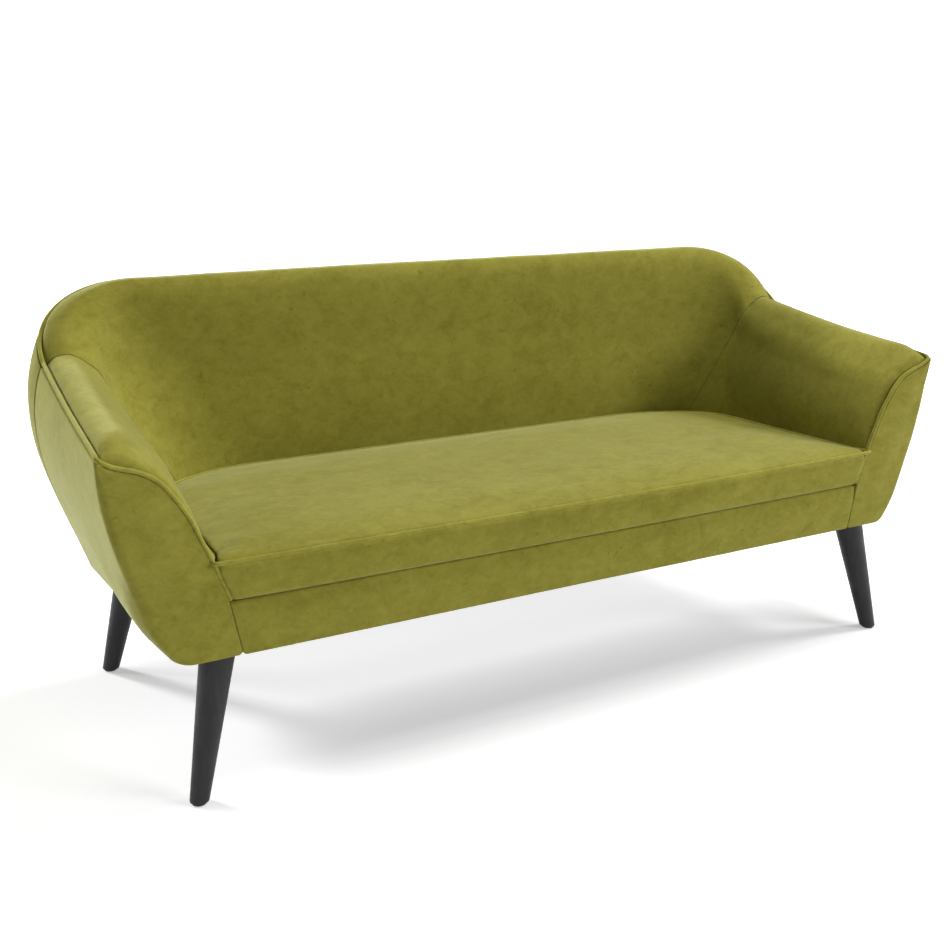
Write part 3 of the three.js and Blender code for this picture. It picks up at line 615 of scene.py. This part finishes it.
def timber_material(name):
    """Planed softwood: growth rings drawn out along the board, with a few darker lines."""
    m = Nodes(name)
    rings = m.wave("Z", (0.12, 1, 1), Scale=34, Distortion=7, Detail=3, Detail_Scale=0.9)
    fibre = m.noise(210, 3, 0.6, 0, (0.05, 1, 1))
    value = m.math("MULTIPLY_ADD", fibre, 0.4, m.math("MULTIPLY", rings, 0.6))
    return m.shader(
        Base_Color=m.ramp(value, [(0.2, srgb(176, 140, 95)), (0.5, srgb(203, 170, 122)),
                                  (0.85, srgb(219, 191, 146))]),
        Roughness=0.75, Specular_IOR_Level=0.3,
        Normal=m.bump(fibre, 0.2, 0.0006),
    )


def steel_material(name):
    """Drawn wire and bolts: fine streaks along one way."""
    m = Nodes(name)
    drawn = m.noise(400, 3, 0.6, 0, (1, 0.05, 1))
    return m.shader(
        Base_Color=m.ramp(drawn, [(0.3, srgb(120, 123, 127)), (0.7, srgb(158, 160, 163))]),
        Metallic=1.0,
        Roughness=m.spread(drawn, 0.3, 0.7, 0.3, 0.5),
        Normal=m.bump(drawn, 0.1, 0.0002),
    )


def plastic_material(name):
    """Dark plastic with a fine grain."""
    m = Nodes(name)
    grains = m.noise(900, 2, 0.5)
    return m.shader(
        Base_Color=m.ramp(grains, [(0.3, srgb(30, 30, 31)), (0.7, srgb(44, 44, 45))]),
        Roughness=0.6,
        Normal=m.bump(grains, 0.15, 0.0003),
    )


def woven_material(name, dark, light, pitch):
    """A plain weave: threads over and under in both directions."""
    m = Nodes(name)
    threads = [m.wave(way, (1, 1, 1), Scale=0.314 / pitch, Distortion=0.6) for way in "XY"]
    weave = m.math("MULTIPLY", *threads)
    fuzz = m.noise(260, 3, 0.6)
    value = m.math("MULTIPLY_ADD", weave, 0.6, m.math("MULTIPLY", fuzz, 0.4))
    return m.shader(
        Base_Color=m.ramp(value, [(0.1, dark), (0.7, light)]),
        Roughness=0.95, Specular_IOR_Level=0.1, Sheen_Weight=0.15,
        Normal=m.bump(weave, 0.5, 0.0006),
    )


velvet = velvet_material("velvet_olive")
# The piping is the same velvet painted 12% lighter: a painted highlight for the light its cords
# catch.
cord_velvet_painted_lighter = velvet_material("velvet_piping", 1.12)
lacquer = lacquer_material("black_lacquer")
timber = timber_material("planed_timber")
steel = steel_material("drawn_steel")
glide_plastic = plastic_material("glide_plastic")
under_cloth = woven_material("under_cloth", srgb(20, 20, 21), srgb(46, 46, 47), 0.0011)
webbing = woven_material("webbing", srgb(38, 34, 30), srgb(84, 78, 68), 0.0022)

# A CAD piece that stays gets the material of the first of these words in its name.
CAD_LOOKS = (("glide", glide_plastic), ("spring", steel), ("bolt", steel),
             ("strap", webbing), ("dust", under_cloth), ("rail", timber), ("post", timber),
             ("board", timber), ("block", timber))


def upholster(node, points, faces):
    """A padded velvet piece of the frame, in place of the CAD node."""
    piece = make(f"{node}_velvet", points, faces, velvet)
    dress(piece, "frame", "velvet", node)


def sew_piping(node, body, path, closed=False):
    """Piping along the path, in place of the CAD node."""
    points, faces = tube(path, CORD + 0.12 * ripple(path, 18), closed)
    piece = make(f"{node}_velvet", points, faces, cord_velvet_painted_lighter)
    dress(piece, body, "piping", node)


# ---- arm pads and back pad ----

def pad_solid(grid, toward, seam_at_both_ends):
    """Rounds the pad's edges at its seams and gives it a hidden side."""
    normal = normals_of(grid, toward)
    first, last = from_ends(grid, 0)
    ends = (last, first) if seam_at_both_ends else (last,)
    seam_roll = mix(1.2, 3, smooth(grid[..., 2], 560, 660))
    sink = sum(edge_roll(end, seam_roll) for end in ends)
    top = from_ends(grid, 1)[0]
    sink = sink + edge_roll(top, 1.6) * mix(0.15, 1, smooth(grid[..., 1], 8, 60))
    near = np.min(ends, axis=0)
    pucker = ripple(grid, 13) * 0.45 * np.exp(-near / 12) * smooth(near, 0, 4)
    near_top = np.exp(-top / 12) * smooth(top, 0, 4)
    pucker = pucker + ripple(grid, 15) * 0.35 * near_top
    soft = ripple(grid, 150) * 0.7 + ripple(grid, 60) * 0.22
    inside = smooth(np.minimum(near, top), 0, 40)
    face = grid + normal * (soft * inside + pucker - sink)[..., None]
    hidden = grid - normal * np.maximum(PAD_THICK, sink + 2)[..., None]
    hidden[..., 1] = np.maximum(hidden[..., 1], PAD_FRONT + 3.4)
    face[..., 1] = np.maximum(face[..., 1], PAD_FRONT - 1)
    return closed_panel(face, hidden)


def arm_pad_grid():
    c = rows_at(clustered(ROW_AT[-1], 5, 7.5, end=False))
    roll = PAD_ROLL * (1 - np.cos(np.linspace(0, PI / 2, 22))) / 470
    rest = np.linspace(roll[-1], 1, 66)[1:]
    near_seam = np.array([0.985, 0.99, 0.994, 0.9965, 0.9985])
    u = np.unique(np.concatenate([roll, rest[rest < 0.98], near_seam, [1]]))
    s = u[:, None] * (c[None, :, 10] - SEAM_GAP)
    grid = pad_points(s, c)
    for _ in range(12):
        share = 0.25 * smooth(u[1:-1], 0.35, 0.6)[:, None, None]
        share = share * (1 - smooth(u[1:-1], 0.93, 0.98))[:, None, None]
        blend = grid[:-2] + grid[2:] - 2 * grid[1:-1]
        grid[1:-1] = grid[1:-1] + share * blend
    # Near the front the foot comes down to the deck, so that no timber shows under it.
    height = grid[..., 2]
    lowered = 7 * (1 - smooth(height, DECK_Z + 8, DECK_Z + 50))
    lowered = lowered * (1 - smooth(grid[..., 1], 60, 160))
    grid[..., 2] = np.maximum(height - lowered, np.minimum(height, DECK_Z + 1))
    return grid


def back_pad_grid():
    c = rows_at(clustered(ROW_AT[-1], 5, 7.5, end=False))
    straight = np.linspace(0, 0.5, 58)
    corner = np.linspace(0.5, 1, 58)[1:]
    near_seam = np.array([0.991, 0.9945, 0.997, 0.9985])
    half = np.unique(np.concatenate([straight, corner[corner < 0.99], near_seam, [1]]))
    u = np.concatenate([-half[:0:-1], half])
    s = mix(3, c[None, :, 10] + SEAM_GAP, np.abs(u)[:, None])
    right = smooth(u, -0.2, 0.2)[:, None]
    grid = pad_points(s, c, mix(10, 21, right), 4.5)
    grid[..., 0] *= np.sign(u)[:, None]
    grid[..., 2] -= 2 * smooth(-grid[..., 0], 330, 700) * smooth(grid[..., 2], 640, 780)
    return grid


right_arm_pad = arm_pad_grid()
for side_name, sign in SIDES:
    grid = mirrored(right_arm_pad, sign)
    points, faces = pad_solid(grid, (0, 250, 900), False)
    upholster(f"arm_pad_{side_name}", points, faces)

points, faces = pad_solid(back_pad_grid(), (0, 100, 700), True)
upholster("back_pad", points, faces)


# ---- outer covers ----

COVER_ROWS = clustered(400, 11, 12) / 400


def facing_inner(rows):
    """Inner edge of the facing from its bottom corner to the tip, at shares of its length."""
    seam = sewn_edge(np.linspace(ROW_AT[0], ROW_AT[-1], 90))[::-1]
    rise = np.linspace(0, 1, 24)[:-1]
    low = np.stack([mix(APRON_HALF + 0.4, seam[0, 0], rise), mix(BASE_Z, seam[0, 1], rise)], -1)
    low[:, 0] += edge_roll(low[:, 1] - BASE_Z, 7)
    path = np.vstack([low, seam])
    place = lengths(path)
    return read_off(path, place / place[-1], rows)


def arm_cover_grid():
    """The right arm's front facing, round its edge, and the arm's outside to the seam."""
    v = COVER_ROWS
    round_edge = mix(17, 5, smooth(v, 0.8, 1))
    turn = np.linspace(0, PI / 2, 10)
    y_round = round_edge[None] * (1 - np.cos(turn))[:, None]
    s_round = y_round / 500
    along = np.linspace(0, 1, 50)[1:]
    along = np.concatenate([along[along < 0.985], [0.988, 0.993, 0.997, 0.9987, 1]])
    s_side = mix(s_round[-1:], 1 - SEAM_GAP, along[:, None])
    s = np.concatenate([s_round, s_side])
    skin = outer_skin(s, v[None])
    skin[: len(turn), :, 1] = y_round
    skin[: len(turn), :, 0] -= edge_roll(y_round, round_edge[None])
    outer = skin[0]
    inner = facing_inner(v)
    across = clustered(90, 5, 5.5, end=False)[:-1] / 90
    facing = np.empty((len(across), len(v), 3))
    facing[..., 0] = mix(inner[None, :, 0], outer[None, :, 0], across[:, None])
    facing[..., 2] = mix(inner[None, :, 1], outer[None, :, 2], across[:, None])
    bulge = np.sin(PI * across)[:, None] ** 2 * np.sin(PI * np.clip(v, 0, 1))[None] ** 0.7
    facing[..., 1] = -4.0 * bulge
    return np.concatenate([facing, skin])


def cover_solid(grid, toward, thickness, rolls, soft_size=0.6):
    """Rolls the cover's edges in and gives it thickness.

    The rolls are radii at the last column, the first column, the top and the hem.
    """
    normal = -normals_of(grid, toward)
    first, last = from_ends(grid, 0)
    low, top = from_ends(grid, 1)
    sink = sum(edge_roll(d, r) for d, r in zip((last, first, top, low), rolls))
    near = np.minimum(np.minimum(last, first), top)
    pucker = ripple(grid, 14) * 0.4 * np.exp(-near / 11) * smooth(near, 0, 4)
    soft = ripple(grid, 170) * soft_size + ripple(grid, 60) * 0.2
    shift = soft * smooth(np.minimum(near, low), 0, 40) + pucker - sink
    face = grid + normal * shift[..., None]
    depth = np.maximum(thickness, sink + 1.5)
    return closed_panel(face, grid - normal * depth[..., None])


right_cover = arm_cover_grid()
thickness = COVER_THICK * mix(1, 0.35, smooth(COVER_ROWS, 0.9, 1))[None]
for side_name, sign in SIDES:
    points, faces = cover_solid(mirrored(right_cover, sign), (sign * 700, 200, 450),
                                thickness, (3, 2.5, 3, 2.5))
    upholster(f"arm_cover_{side_name}", points, faces)


def back_cover_grid():
    half = np.concatenate([[0, 0.0015, 0.004, 0.008, 0.013, 0.019],
                           np.linspace(0.03, 1, 40), 1 + np.linspace(0, 1, 50)[1:]])
    s = 1 + SEAM_GAP + half * (2 - SEAM_GAP) / 2
    u = np.concatenate([-s, s[-2::-1]])
    grid = outer_skin(np.abs(u)[:, None], COVER_ROWS[None])
    grid[..., 0] *= np.sign(u)[:, None]
    return grid


points, faces = cover_solid(back_cover_grid(), (0, 250, 450), COVER_THICK, (3, 3, 3, 3), 0.9)
upholster("back_cover", points, faces)


# ---- piping of the shell ----

def rim_cord(s):
    """The cord's centre line along the rim, a little inside it."""
    s = np.asarray(s, float)
    raised = 5.1 - 2.6 * (1 - smooth(s, 0.02, 0.14))
    return rim(s) - outward(s) * 5.6 + raised[..., None] * [0, 0, 1]


def facing_cord():
    """The cord's centre line down the facing's inner edge, to beside the cushion."""
    places = np.linspace(10, ROW_AT[-1] + 3, 80)
    edge = sewn_edge(places)
    along = np.gradient(edge, axis=0)
    along /= np.linalg.norm(along, axis=1)[:, None]
    away = np.stack([along[:, 1], -along[:, 0]], -1)
    off = mix(4.2, 2.6, smooth(places, ROW_AT[5], ROW_AT[6]))
    centre = edge + away * off[:, None]
    return np.stack([centre[:, 0], np.full(len(centre), 3.0), centre[:, 1]], -1)


def arm_cord_path():
    back_part = rim_cord(np.linspace(1 - 4 * SEAM_GAP, 0.028, 90))
    front_part = facing_cord()
    tip = np.array([[904.6, 7.5, 612.6], [902.3, 3.6, 609.8]])
    path = np.vstack([back_part, tip, front_part])
    return relax(resample(path, 4.0), 3)


for side_name, sign in SIDES:
    path = mirrored(arm_cord_path(), sign)
    path = path + ripple(path, 40)[:, None] * np.array([0.12, 0, 0.12])
    sew_piping(f"arm_piping_{side_name}", "frame", path)

half = rim_cord(np.linspace(1 + 4 * SEAM_GAP, 3, 220))
path = np.vstack([mirrored(half, -1), half[-2::-1]])
sew_piping("back_piping", "frame", relax(resample(path, 5.0), 2))


# ---- apron ----

def apron_grid():
    """The apron's face from its hem up, over the deck's front edge and under the cushion."""
    top_z, turn, back_y = DECK_Z + 0.5, 7.5, 60
    up = mix(BASE_Z, top_z - turn, clustered(100, 6, 7, end=False) / 100)
    angle = np.linspace(0, PI / 2, 6)[1:]
    back = np.linspace(turn, back_y, 9)[1:]
    z = np.concatenate([up, top_z - turn * (1 - np.sin(angle)), np.full(len(back), top_z)])
    y = np.concatenate([np.zeros(len(up)), turn * (1 - np.cos(angle)), back])
    foot_x, foot_z = SEWN[-1]
    half_width = mix(APRON_HALF, foot_x, (z - BASE_Z) / (foot_z - BASE_Z)) - 0.4
    half_width = half_width - edge_roll(z - BASE_Z, 5) - 3 * smooth(y, 12, 40)
    u = clustered(1382, 6, 10) / 691 - 1
    v = np.clip((z - BASE_Z) / (top_z - BASE_Z), 0, 1)
    grid = np.empty((len(u), len(z), 3))
    grid[..., 0] = u[:, None] * half_width[None]
    inset = 4 * smooth(z, top_z - 34, top_z - 6)
    grid[..., 1] = (y + inset)[None]
    grid[..., 1] -= 2.6 * np.sin(PI * v)[None] * (1 - np.abs(u)[:, None] ** 12)
    grid[..., 2] = z[None]
    return grid, np.where(y > turn + 1, 0.8, np.where(z > top_z - 12, 3.0, 9.0))[None]


grid, thickness = apron_grid()
points, faces = cover_solid(grid, (0, 300, 200), thickness, (2, 2, 0.2, 2.5), 0.5)
upholster("front_apron", points, faces)


# ---- loose cushion ----

CUSHION_AHEAD = 7                # the cushion's front stands this far ahead of the arms


def cushion_outline(side_in, back_in, front_in, corner=5):
    """Level outline of the cushion as x and y, with rounded front corners."""
    s = np.concatenate([np.linspace(0, 0.03, 12), np.linspace(0.03, 1, 60)[1:],
                        np.linspace(1, 2, 60)[1:], np.linspace(2, 3, 60)[1:]])
    front_y = front_in - CUSHION_AHEAD
    right = shell((SEAT_HALF - side_in, front_y, 0), (SEAT_SIDE - side_in, SEAT_CORNER_Y, 0),
                  (SEAT_CORNER_X, SEAT_DEPTH - back_in, 0), s)[:, :2]
    tuck = -7.5 * (1 - smooth(right[:, 1], 4, 36)) * (s <= 1)
    right[:, 0] -= tuck + edge_roll(right[:, 1] - front_y, corner) * (s <= 1)
    left = right[::-1][1:] * [-1, 1]
    t = np.linspace(-1, 1, 121)[1:-1]
    reach = right[0, 0]
    bow = np.stack([t * reach, front_y - 8 * (1 - t * t)], -1)
    return np.vstack([right, left, bow])


RING_INSET = (1.4, 1.8, -0.9)    # of the piping, at the sides, the back and the front
RING_Z = 419.2
CUSHION_SHRINK = 1.0             # the cushion's levels are drawn in by this much
LIP_DROP = -1.5


def lip(points):
    """How far the cushion's lower front edge hangs over the apron."""
    ahead = 1 - smooth(points[:, 1], -6, 5)
    return LIP_DROP * ahead * (1 - smooth(points[:, 2], DECK_Z, DECK_Z + 34))


def cushion_ring():
    side_in, back_in, front_in = RING_INSET
    flat = cushion_outline(CUSHION_GAP + side_in, CUSHION_GAP + back_in, front_in, 4)
    path = np.column_stack([flat, np.full(len(flat), RING_Z)])
    return relax(resample(path, 3.0, closed=True), 2, closed=True)


def cushion_levels():
    """Loops from the middle of the underside to the middle of the crown."""
    steps = [(60, DECK_Z + 1), (14, DECK_Z + 1), (3, DECK_Z + 1.6), (0.7, DECK_Z + 4.5),
             (0.2, DECK_Z + 12), (0, 385), (0.4, 405), (1.6, 414), (4.5, 418.5),
             (8, 422), (15, 425), (30, 427.6), (60, 429.6), (110, 431.2), (180, 432.2),
             (240, 432.5)]
    loops = []
    for inset, z in steps:
        low = max((SEAT_Z - z) / CUSHION_THICK, 0)
        inset = inset + CUSHION_SHRINK
        gap = CUSHION_GAP + inset
        flat = cushion_outline(gap + SIDE_LEAN * low, gap, inset + FRONT_LEAN * low,
                               5 + 0.15 * inset)
        flat = resample(np.column_stack([flat, np.full(len(flat), z)]), 8, closed=True)
        flat[:, 2] -= lip(flat)
        loops.append(flat)
    count = min(len(loop) for loop in loops)
    even = []
    for loop in loops:
        place = np.linspace(0, len(loop), count, endpoint=False)
        wrapped = np.vstack([loop, loop[:1]])
        even.append(read_off(wrapped, np.arange(len(wrapped)), place))
    return np.array(even)


def read_points(obj):
    out = np.empty(len(obj.data.vertices) * 3)
    obj.data.vertices.foreach_get("co", out)
    out = out.reshape(-1, 3) * 1000
    out[:, 1] -= FRONT_Y * 1000
    return out


def write_points(obj, points):
    obj.data.vertices.foreach_set("co", to_metres(points).ravel())
    obj.data.update()


def apply_modifiers(obj):
    """Bakes the object's modifiers into its mesh."""
    graph = bpy.context.evaluated_depsgraph_get()
    baked = bpy.data.meshes.new_from_object(obj.evaluated_get(graph))
    old = obj.data
    obj.modifiers.clear()
    obj.data = baked
    bpy.data.meshes.remove(old)


def nearest(points, path):
    """Distance of each point from the closest of a path's points."""
    best = np.full(len(points), 1e9)
    for block in range(0, len(path), 64):
        gap = points[:, None] - path[None, block : block + 64]
        best = np.minimum(best, np.sqrt((gap**2).sum(-1)).min(1))
    return best


CLOTH_SETTINGS = {
    "quality": 5, "mass": 0.3, "tension_stiffness": 22, "compression_stiffness": 22,
    "shear_stiffness": 12, "bending_stiffness": 1.2, "use_pressure": True,
    "uniform_pressure_force": 4.0, "vertex_group_mass": "held", "pin_stiffness": 4,
}
CLOTH_FRAMES = 20
CLOTH_CAP = 9.0                  # no point of the cushion goes further than this


def inflate(obj, held):
    """Runs cloth with air pressure, seams held, and no point going further than the cap."""
    group = obj.vertex_groups.new(name="held")
    for index, weight in enumerate(held):
        if weight > 0.02:
            group.add([index], float(weight), "REPLACE")
    start = read_points(obj)
    cloth = obj.modifiers.new("cloth", "CLOTH")
    for key, value in CLOTH_SETTINGS.items():
        setattr(cloth.settings, key, value)
    cloth.settings.effector_weights.gravity = 0
    cloth.collision_settings.use_collision = False
    for number in range(1, CLOTH_FRAMES + 1):
        scene.frame_set(number)
    apply_modifiers(obj)
    moved = read_points(obj) - start
    length = np.linalg.norm(moved, axis=1)
    share = CLOTH_CAP * np.tanh(length / CLOTH_CAP) / np.maximum(length, 1e-6)
    write_points(obj, start + moved * share[:, None])
    scene.frame_set(1)
    obj.vertex_groups.clear()


ring = cushion_ring()
loops = cushion_levels()
cushion = make("seat_cushion_velvet", loops.reshape(-1, 3),
               loop_faces(*loops.shape[:2]), velvet, 180)
remesh = cushion.modifiers.new("even", "REMESH")
remesh.mode = "VOXEL"
remesh.voxel_size = 0.0065
remesh.use_smooth_shade = True
apply_modifiers(cushion)
points = read_points(cushion)
hem = cushion_outline(CUSHION_GAP + 3 + SIDE_LEAN * 0.96, CUSHION_GAP + 3,
                      2 + FRONT_LEAN * 0.96)
hem = resample(np.column_stack([hem, np.full(len(hem), DECK_Z + 4)]), 8, closed=True)
hem[:, 2] -= lip(hem)
near_ring = nearest(points, resample(ring, 8, closed=True))
near_hem = nearest(points, hem)
held = np.maximum(1 - smooth(near_ring, 6, 16), 0.9 * (1 - smooth(near_hem, 6, 16)))
held = np.maximum(held, points[:, 2] < DECK_Z + 2.6 - lip(points))
inflate(cushion, held)
divide = cushion.modifiers.new("fine", "SUBSURF")
divide.levels = divide.render_levels = 1
apply_modifiers(cushion)
points = read_points(cushion)
near_ring = nearest(points, resample(ring, 5, closed=True))
near_hem = nearest(points, hem)
inward = np.empty(points.size)
cushion.data.vertex_normals.foreach_get("vector", inward)
inward = -inward.reshape(-1, 3)
below = smooth(points[:, 2], 421, 417)
groove = mix(2.6, 8.6, below) * hump(near_ring, 0, 7) + 0.7 * hump(near_hem, 0, 6)
pucker = ripple(points, 16) * 0.5 * np.exp(-near_ring / 14) * smooth(near_ring, 2, 8)
lift = ripple(points * [1, 1.3, 1], 190) * 1.1 + ripple(points, 70) * 0.35
on_top = smooth(points[:, 2], 417, 424) * smooth(near_ring, 5, 60)
points = points + inward * (groove + pucker)[:, None]
points[:, 2] += lift * on_top
deck_front = smooth(points[:, 1], -4.5, 1)
points[:, 2] = np.maximum(points[:, 2], mix(DECK_Z - LIP_DROP, DECK_Z + 1, deck_front))
write_points(cushion, points)
cushion.data.shade_smooth()
if not cushion.data.materials:
    cushion.data.materials.append(velvet)
dress(cushion, "seat_cushion", "velvet", "seat_cushion_cover", "seat_cushion_core")

path = ring + ripple(ring, 45)[:, None] * np.array([0.15, 0.15, 0.25])
sew_piping("seat_cushion_piping", "seat_cushion", path, closed=True)


# ---- legs ----

def leg_rings(top, foot):
    """Level rings of a turned, splayed leg with a small chamfer at its foot."""
    top, foot = np.array([*top, float(LEG_TOP_Z)]), np.array([*foot, 0.0])
    z = np.concatenate([[LEG_BOTTOM_Z, 3.6, 4.2, 5.2, 6.6],
                        np.linspace(9, LEG_TOP_Z - 0.4, 40)])
    t = z / LEG_TOP_Z
    centre = mix(foot, top, t[:, None])
    lean = (top - foot)[:2]
    tilt = math.atan2(np.linalg.norm(lean), LEG_TOP_Z)
    radius = mix(LEG_FOOT_RADIUS, LEG_TOP_RADIUS, t) - edge_roll(z - LEG_BOTTOM_Z, 3.2) * 0.8
    angle = np.linspace(0, 2 * PI, 56, endpoint=False)
    way = lean / np.linalg.norm(lean)
    side = np.array([-way[1], way[0]])
    ring = way * np.cos(angle)[:, None] / math.cos(tilt) + side * np.sin(angle)[:, None]
    rings = np.empty((len(z), len(angle), 3))
    rings[..., :2] = centre[:, None, :2] + radius[:, None, None] * ring[None]
    rings[..., 2] = z[:, None]
    return rings


for end, (top_y, foot_y) in LEG_ENDS.items():
    for side_name, sign in SIDES:
        rings = mirrored(leg_rings((LEG_TOP_X, top_y), (LEG_FOOT_X, foot_y)), sign)
        leg = make(f"leg_{end}_{side_name}_turned", rings.reshape(-1, 3),
                   loop_faces(*rings.shape[:2]), lacquer, 50)
        dress(leg, "frame", "black_lacquered_wood", f"leg_{end}_{side_name}")


# ---- cloths under the seat ----

def cloth_sheet(name, node, points, faces):
    """A thin sheet of cloth, stretched on its frame."""
    sheet = make(name, points, faces, under_cloth, 60)
    dress(sheet, "frame", "under_cloth", node)


DECK_PAST_PADS = 20              # the deck cloth's ends reach this far under the pads' feet
SPRING_PITCH = 230               # and it hangs a little between the springs
DECK_SAG = 0.9

low, high = (np.array(p) * 1000 - [0, FRONT_Y * 1000, 0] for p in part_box("deck_cloth"))
low[0], high[0] = low[0] - DECK_PAST_PADS, high[0] + DECK_PAST_PADS
u, v = np.meshgrid(np.linspace(0, 1, 130), np.linspace(0, 1, 60), indexing="ij")
deck = np.stack([mix(low[0], high[0], u), mix(low[1], high[1], v), np.full_like(u, high[2])],
                -1)
sag = np.sin(PI * u) ** 0.6 * smooth(v, 0.05, 0.3) * (1 - smooth(v, 0.78, 0.94))
ribs = np.cos(2 * PI * deck[..., 0] / SPRING_PITCH) ** 8
deck[..., 2] -= sag * (0.5 - 0.5 * ribs) * DECK_SAG
points, faces = closed_panel(deck, deck - [0, 0, CLOTH_THICK])
cloth_sheet("deck_cloth_sheet", "deck_cloth", points, faces)

LEG_CUT = 35.3                   # radius of the cut-outs round the legs
DUST_INSET, DUST_FRONT_Y, DUST_Z = 26, 10.4, 251.4


def dust_outline():
    """The dust cloth's edge: the base edge drawn in, cut out round the tops of the legs."""
    s = np.concatenate([np.linspace(0, 1, 90), np.linspace(1, 2, 30)[1:],
                        np.linspace(2, 3, 120)[1:]])
    right = (base_edge(s) - outward(s) * DUST_INSET)[:, :2]
    right[:, 1] = np.maximum(right[:, 1], DUST_FRONT_Y)
    front = np.linspace(-1, 1, 240)[1:-1, None] * [right[0, 0], 0] + [0, DUST_FRONT_Y]
    edge = np.vstack([right, right[-2::-1] * [-1, 1], front])
    for leg in [(sign * LEG_TOP_X, y) for y, _ in LEG_ENDS.values() for sign in (1, -1)]:
        inside = np.linalg.norm(edge - leg, axis=1) < LEG_CUT
        edge = np.roll(edge, -np.flatnonzero(inside & ~np.roll(inside, 1))[0], axis=0)
        edge = edge[np.count_nonzero(inside):]
        last, first = (math.atan2(p[1] - leg[1], p[0] - leg[0]) for p in (edge[-1], edge[0]))
        arcs = []
        for way in (1, -1):
            angle = last + way * np.linspace(0, ((first - last) * way) % (2 * PI), 40)
            arcs.append(leg + LEG_CUT * np.stack([np.cos(angle), np.sin(angle)], -1))
        arcs.sort(key=lambda arc: np.linalg.norm(arc[20] - [0, 300]))
        edge = np.vstack([edge, arcs[0]])
    return edge


def dust_height(flat, edge):
    """The cloth is held at its staples, and hangs a little between them and in the middle."""
    level = np.column_stack([flat, np.zeros(len(flat))])
    inside = smooth(nearest(level, np.column_stack([edge, np.zeros(len(edge))])), 4, 150)
    return DUST_Z - inside * (1.1 + 0.5 * ripple(level * [1, 1.6, 1], 150))


edge = dust_outline()
grid_x, grid_y = np.meshgrid(np.arange(-800, 801, 16.0), np.arange(0, 640, 16.0))
inner = np.stack([grid_x, grid_y], -1).reshape(-1, 2)
inner = inner[nearest(inner, edge) > 6]
flat, _, faces, *_ = delaunay_2d_cdt(
    [tuple(p) for p in np.vstack([edge, inner])], [], [list(range(len(edge)))], 1, 0.01)
faces = np.array([list(f) for f in faces])
used = np.unique(faces)
faces, flat = np.searchsorted(used, faces), np.array([tuple(p) for p in flat])[used]
upper = np.column_stack([flat, dust_height(flat, edge)])
count = len(upper)
uses = {}
for a, b, c in faces:
    for pair in ((a, b), (b, c), (c, a)):
        uses[tuple(sorted(pair))] = uses.get(tuple(sorted(pair)), 0) + 1
rim_faces = [[a, b, b + count, a + count] for (a, b), times in uses.items() if times == 1]
cloth_sheet("dust_cloth_sheet", "dust_cloth", np.vstack([upper, upper - [0, 0, CLOTH_THICK]]),
            faces.tolist() + (faces[:, ::-1] + count).tolist() + rim_faces)

# ---- CAD pieces that stay: better materials ----

for name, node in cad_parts.items():
    if getattr(node, "type", "") != "MESH" or not node.material_slots:
        continue
    look = next((material for word, material in CAD_LOOKS if word in name), None)
    if look:
        for place in node.material_slots:
            place.material = look


# ---- floor, lights and background ----

FLOOR_GLOW = 0.43                # what the floor adds to its own look near the sofa
FLOOR_REACH = 30
WORLD_LEVEL = 0.035
LAMP_DISTANCE, LAMP_TARGET = 8.0, (0, 0, 0.4)


def floor_material():
    """Matt white paper that also shines a little, towards full white far from the sofa."""
    m = Nodes("floor_paper")
    paper = m.ramp(m.noise(3, 2, 0.5),
                   [(0.3, (0.865, 0.865, 0.87)), (0.7, (0.875, 0.875, 0.88))])
    matt = m.add("ShaderNodeBsdfDiffuse", {"Color": paper})
    away = m.add("ShaderNodeVectorMath", {0: m.place()}, operation="LENGTH")
    far = m.spread(away.outputs["Value"], 1.4, 4.5, FLOOR_GLOW, 1.0)
    strength = m.math("MULTIPLY", m.seen(), far)
    glow = m.add("ShaderNodeEmission", {"Color": (1, 1, 1, 1), "Strength": strength})
    both = m.add("ShaderNodeAddShader", {0: matt.outputs[0], 1: glow.outputs[0]})
    m.link(both.outputs[0], m.out.inputs[0])
    return m.owner


floor_mesh = bpy.data.meshes.new("floor")
floor_mesh.from_pydata([(x * FLOOR_REACH, y * FLOOR_REACH, 0)
                        for x, y in ((-1, -1), (1, -1), (1, 1), (-1, 1))], [], [(0, 1, 2, 3)])
floor_mesh.materials.append(floor_material())
floor = bpy.data.objects.new("floor", floor_mesh)
scene.collection.objects.link(floor)

world = bpy.data.worlds.new("studio")
scene.world = world
sky = Nodes(world, "ShaderNodeOutputWorld")
strength = sky.spread(sky.seen(), 0, 1, WORLD_LEVEL, 1.0)
background = sky.add("ShaderNodeBackground", {"Color": (1, 1, 1, 1), "Strength": strength})
sky.link(background.outputs[0], sky.out.inputs[0])


def lamp(name, toward, width, height, watts):
    """An area lamp in the direction toward, turned to the sofa."""
    data = bpy.data.lights.new(name, "AREA")
    data.shape = "RECTANGLE"
    data.size, data.size_y = width, height
    data.energy = watts
    light = bpy.data.objects.new(name, data)
    way = np.array(toward, float) / np.linalg.norm(toward)
    light.location = np.array(LAMP_TARGET) + way * LAMP_DISTANCE
    light.rotation_euler = Vector(way).to_track_quat("Z", "Y").to_euler()
    scene.collection.objects.link(light)


lamp("key_right", (0.752, -0.146, 0.643), 1.33, 1.33, 177)
lamp("key_high", (0.304, 0.054, 0.951), 2.67, 2.67, 386)
lamp("front_right", (0.620, -0.689, 0.375), 3.20, 2.13, 265)
lamp("rim_left", (-0.484, 0.775, 0.407), 1.24, 1.24, 442)
lamp("side_left", (-0.696, 0.544, 0.469), 2.13, 2.13, 158)

scene.view_settings.view_transform = "Standard"
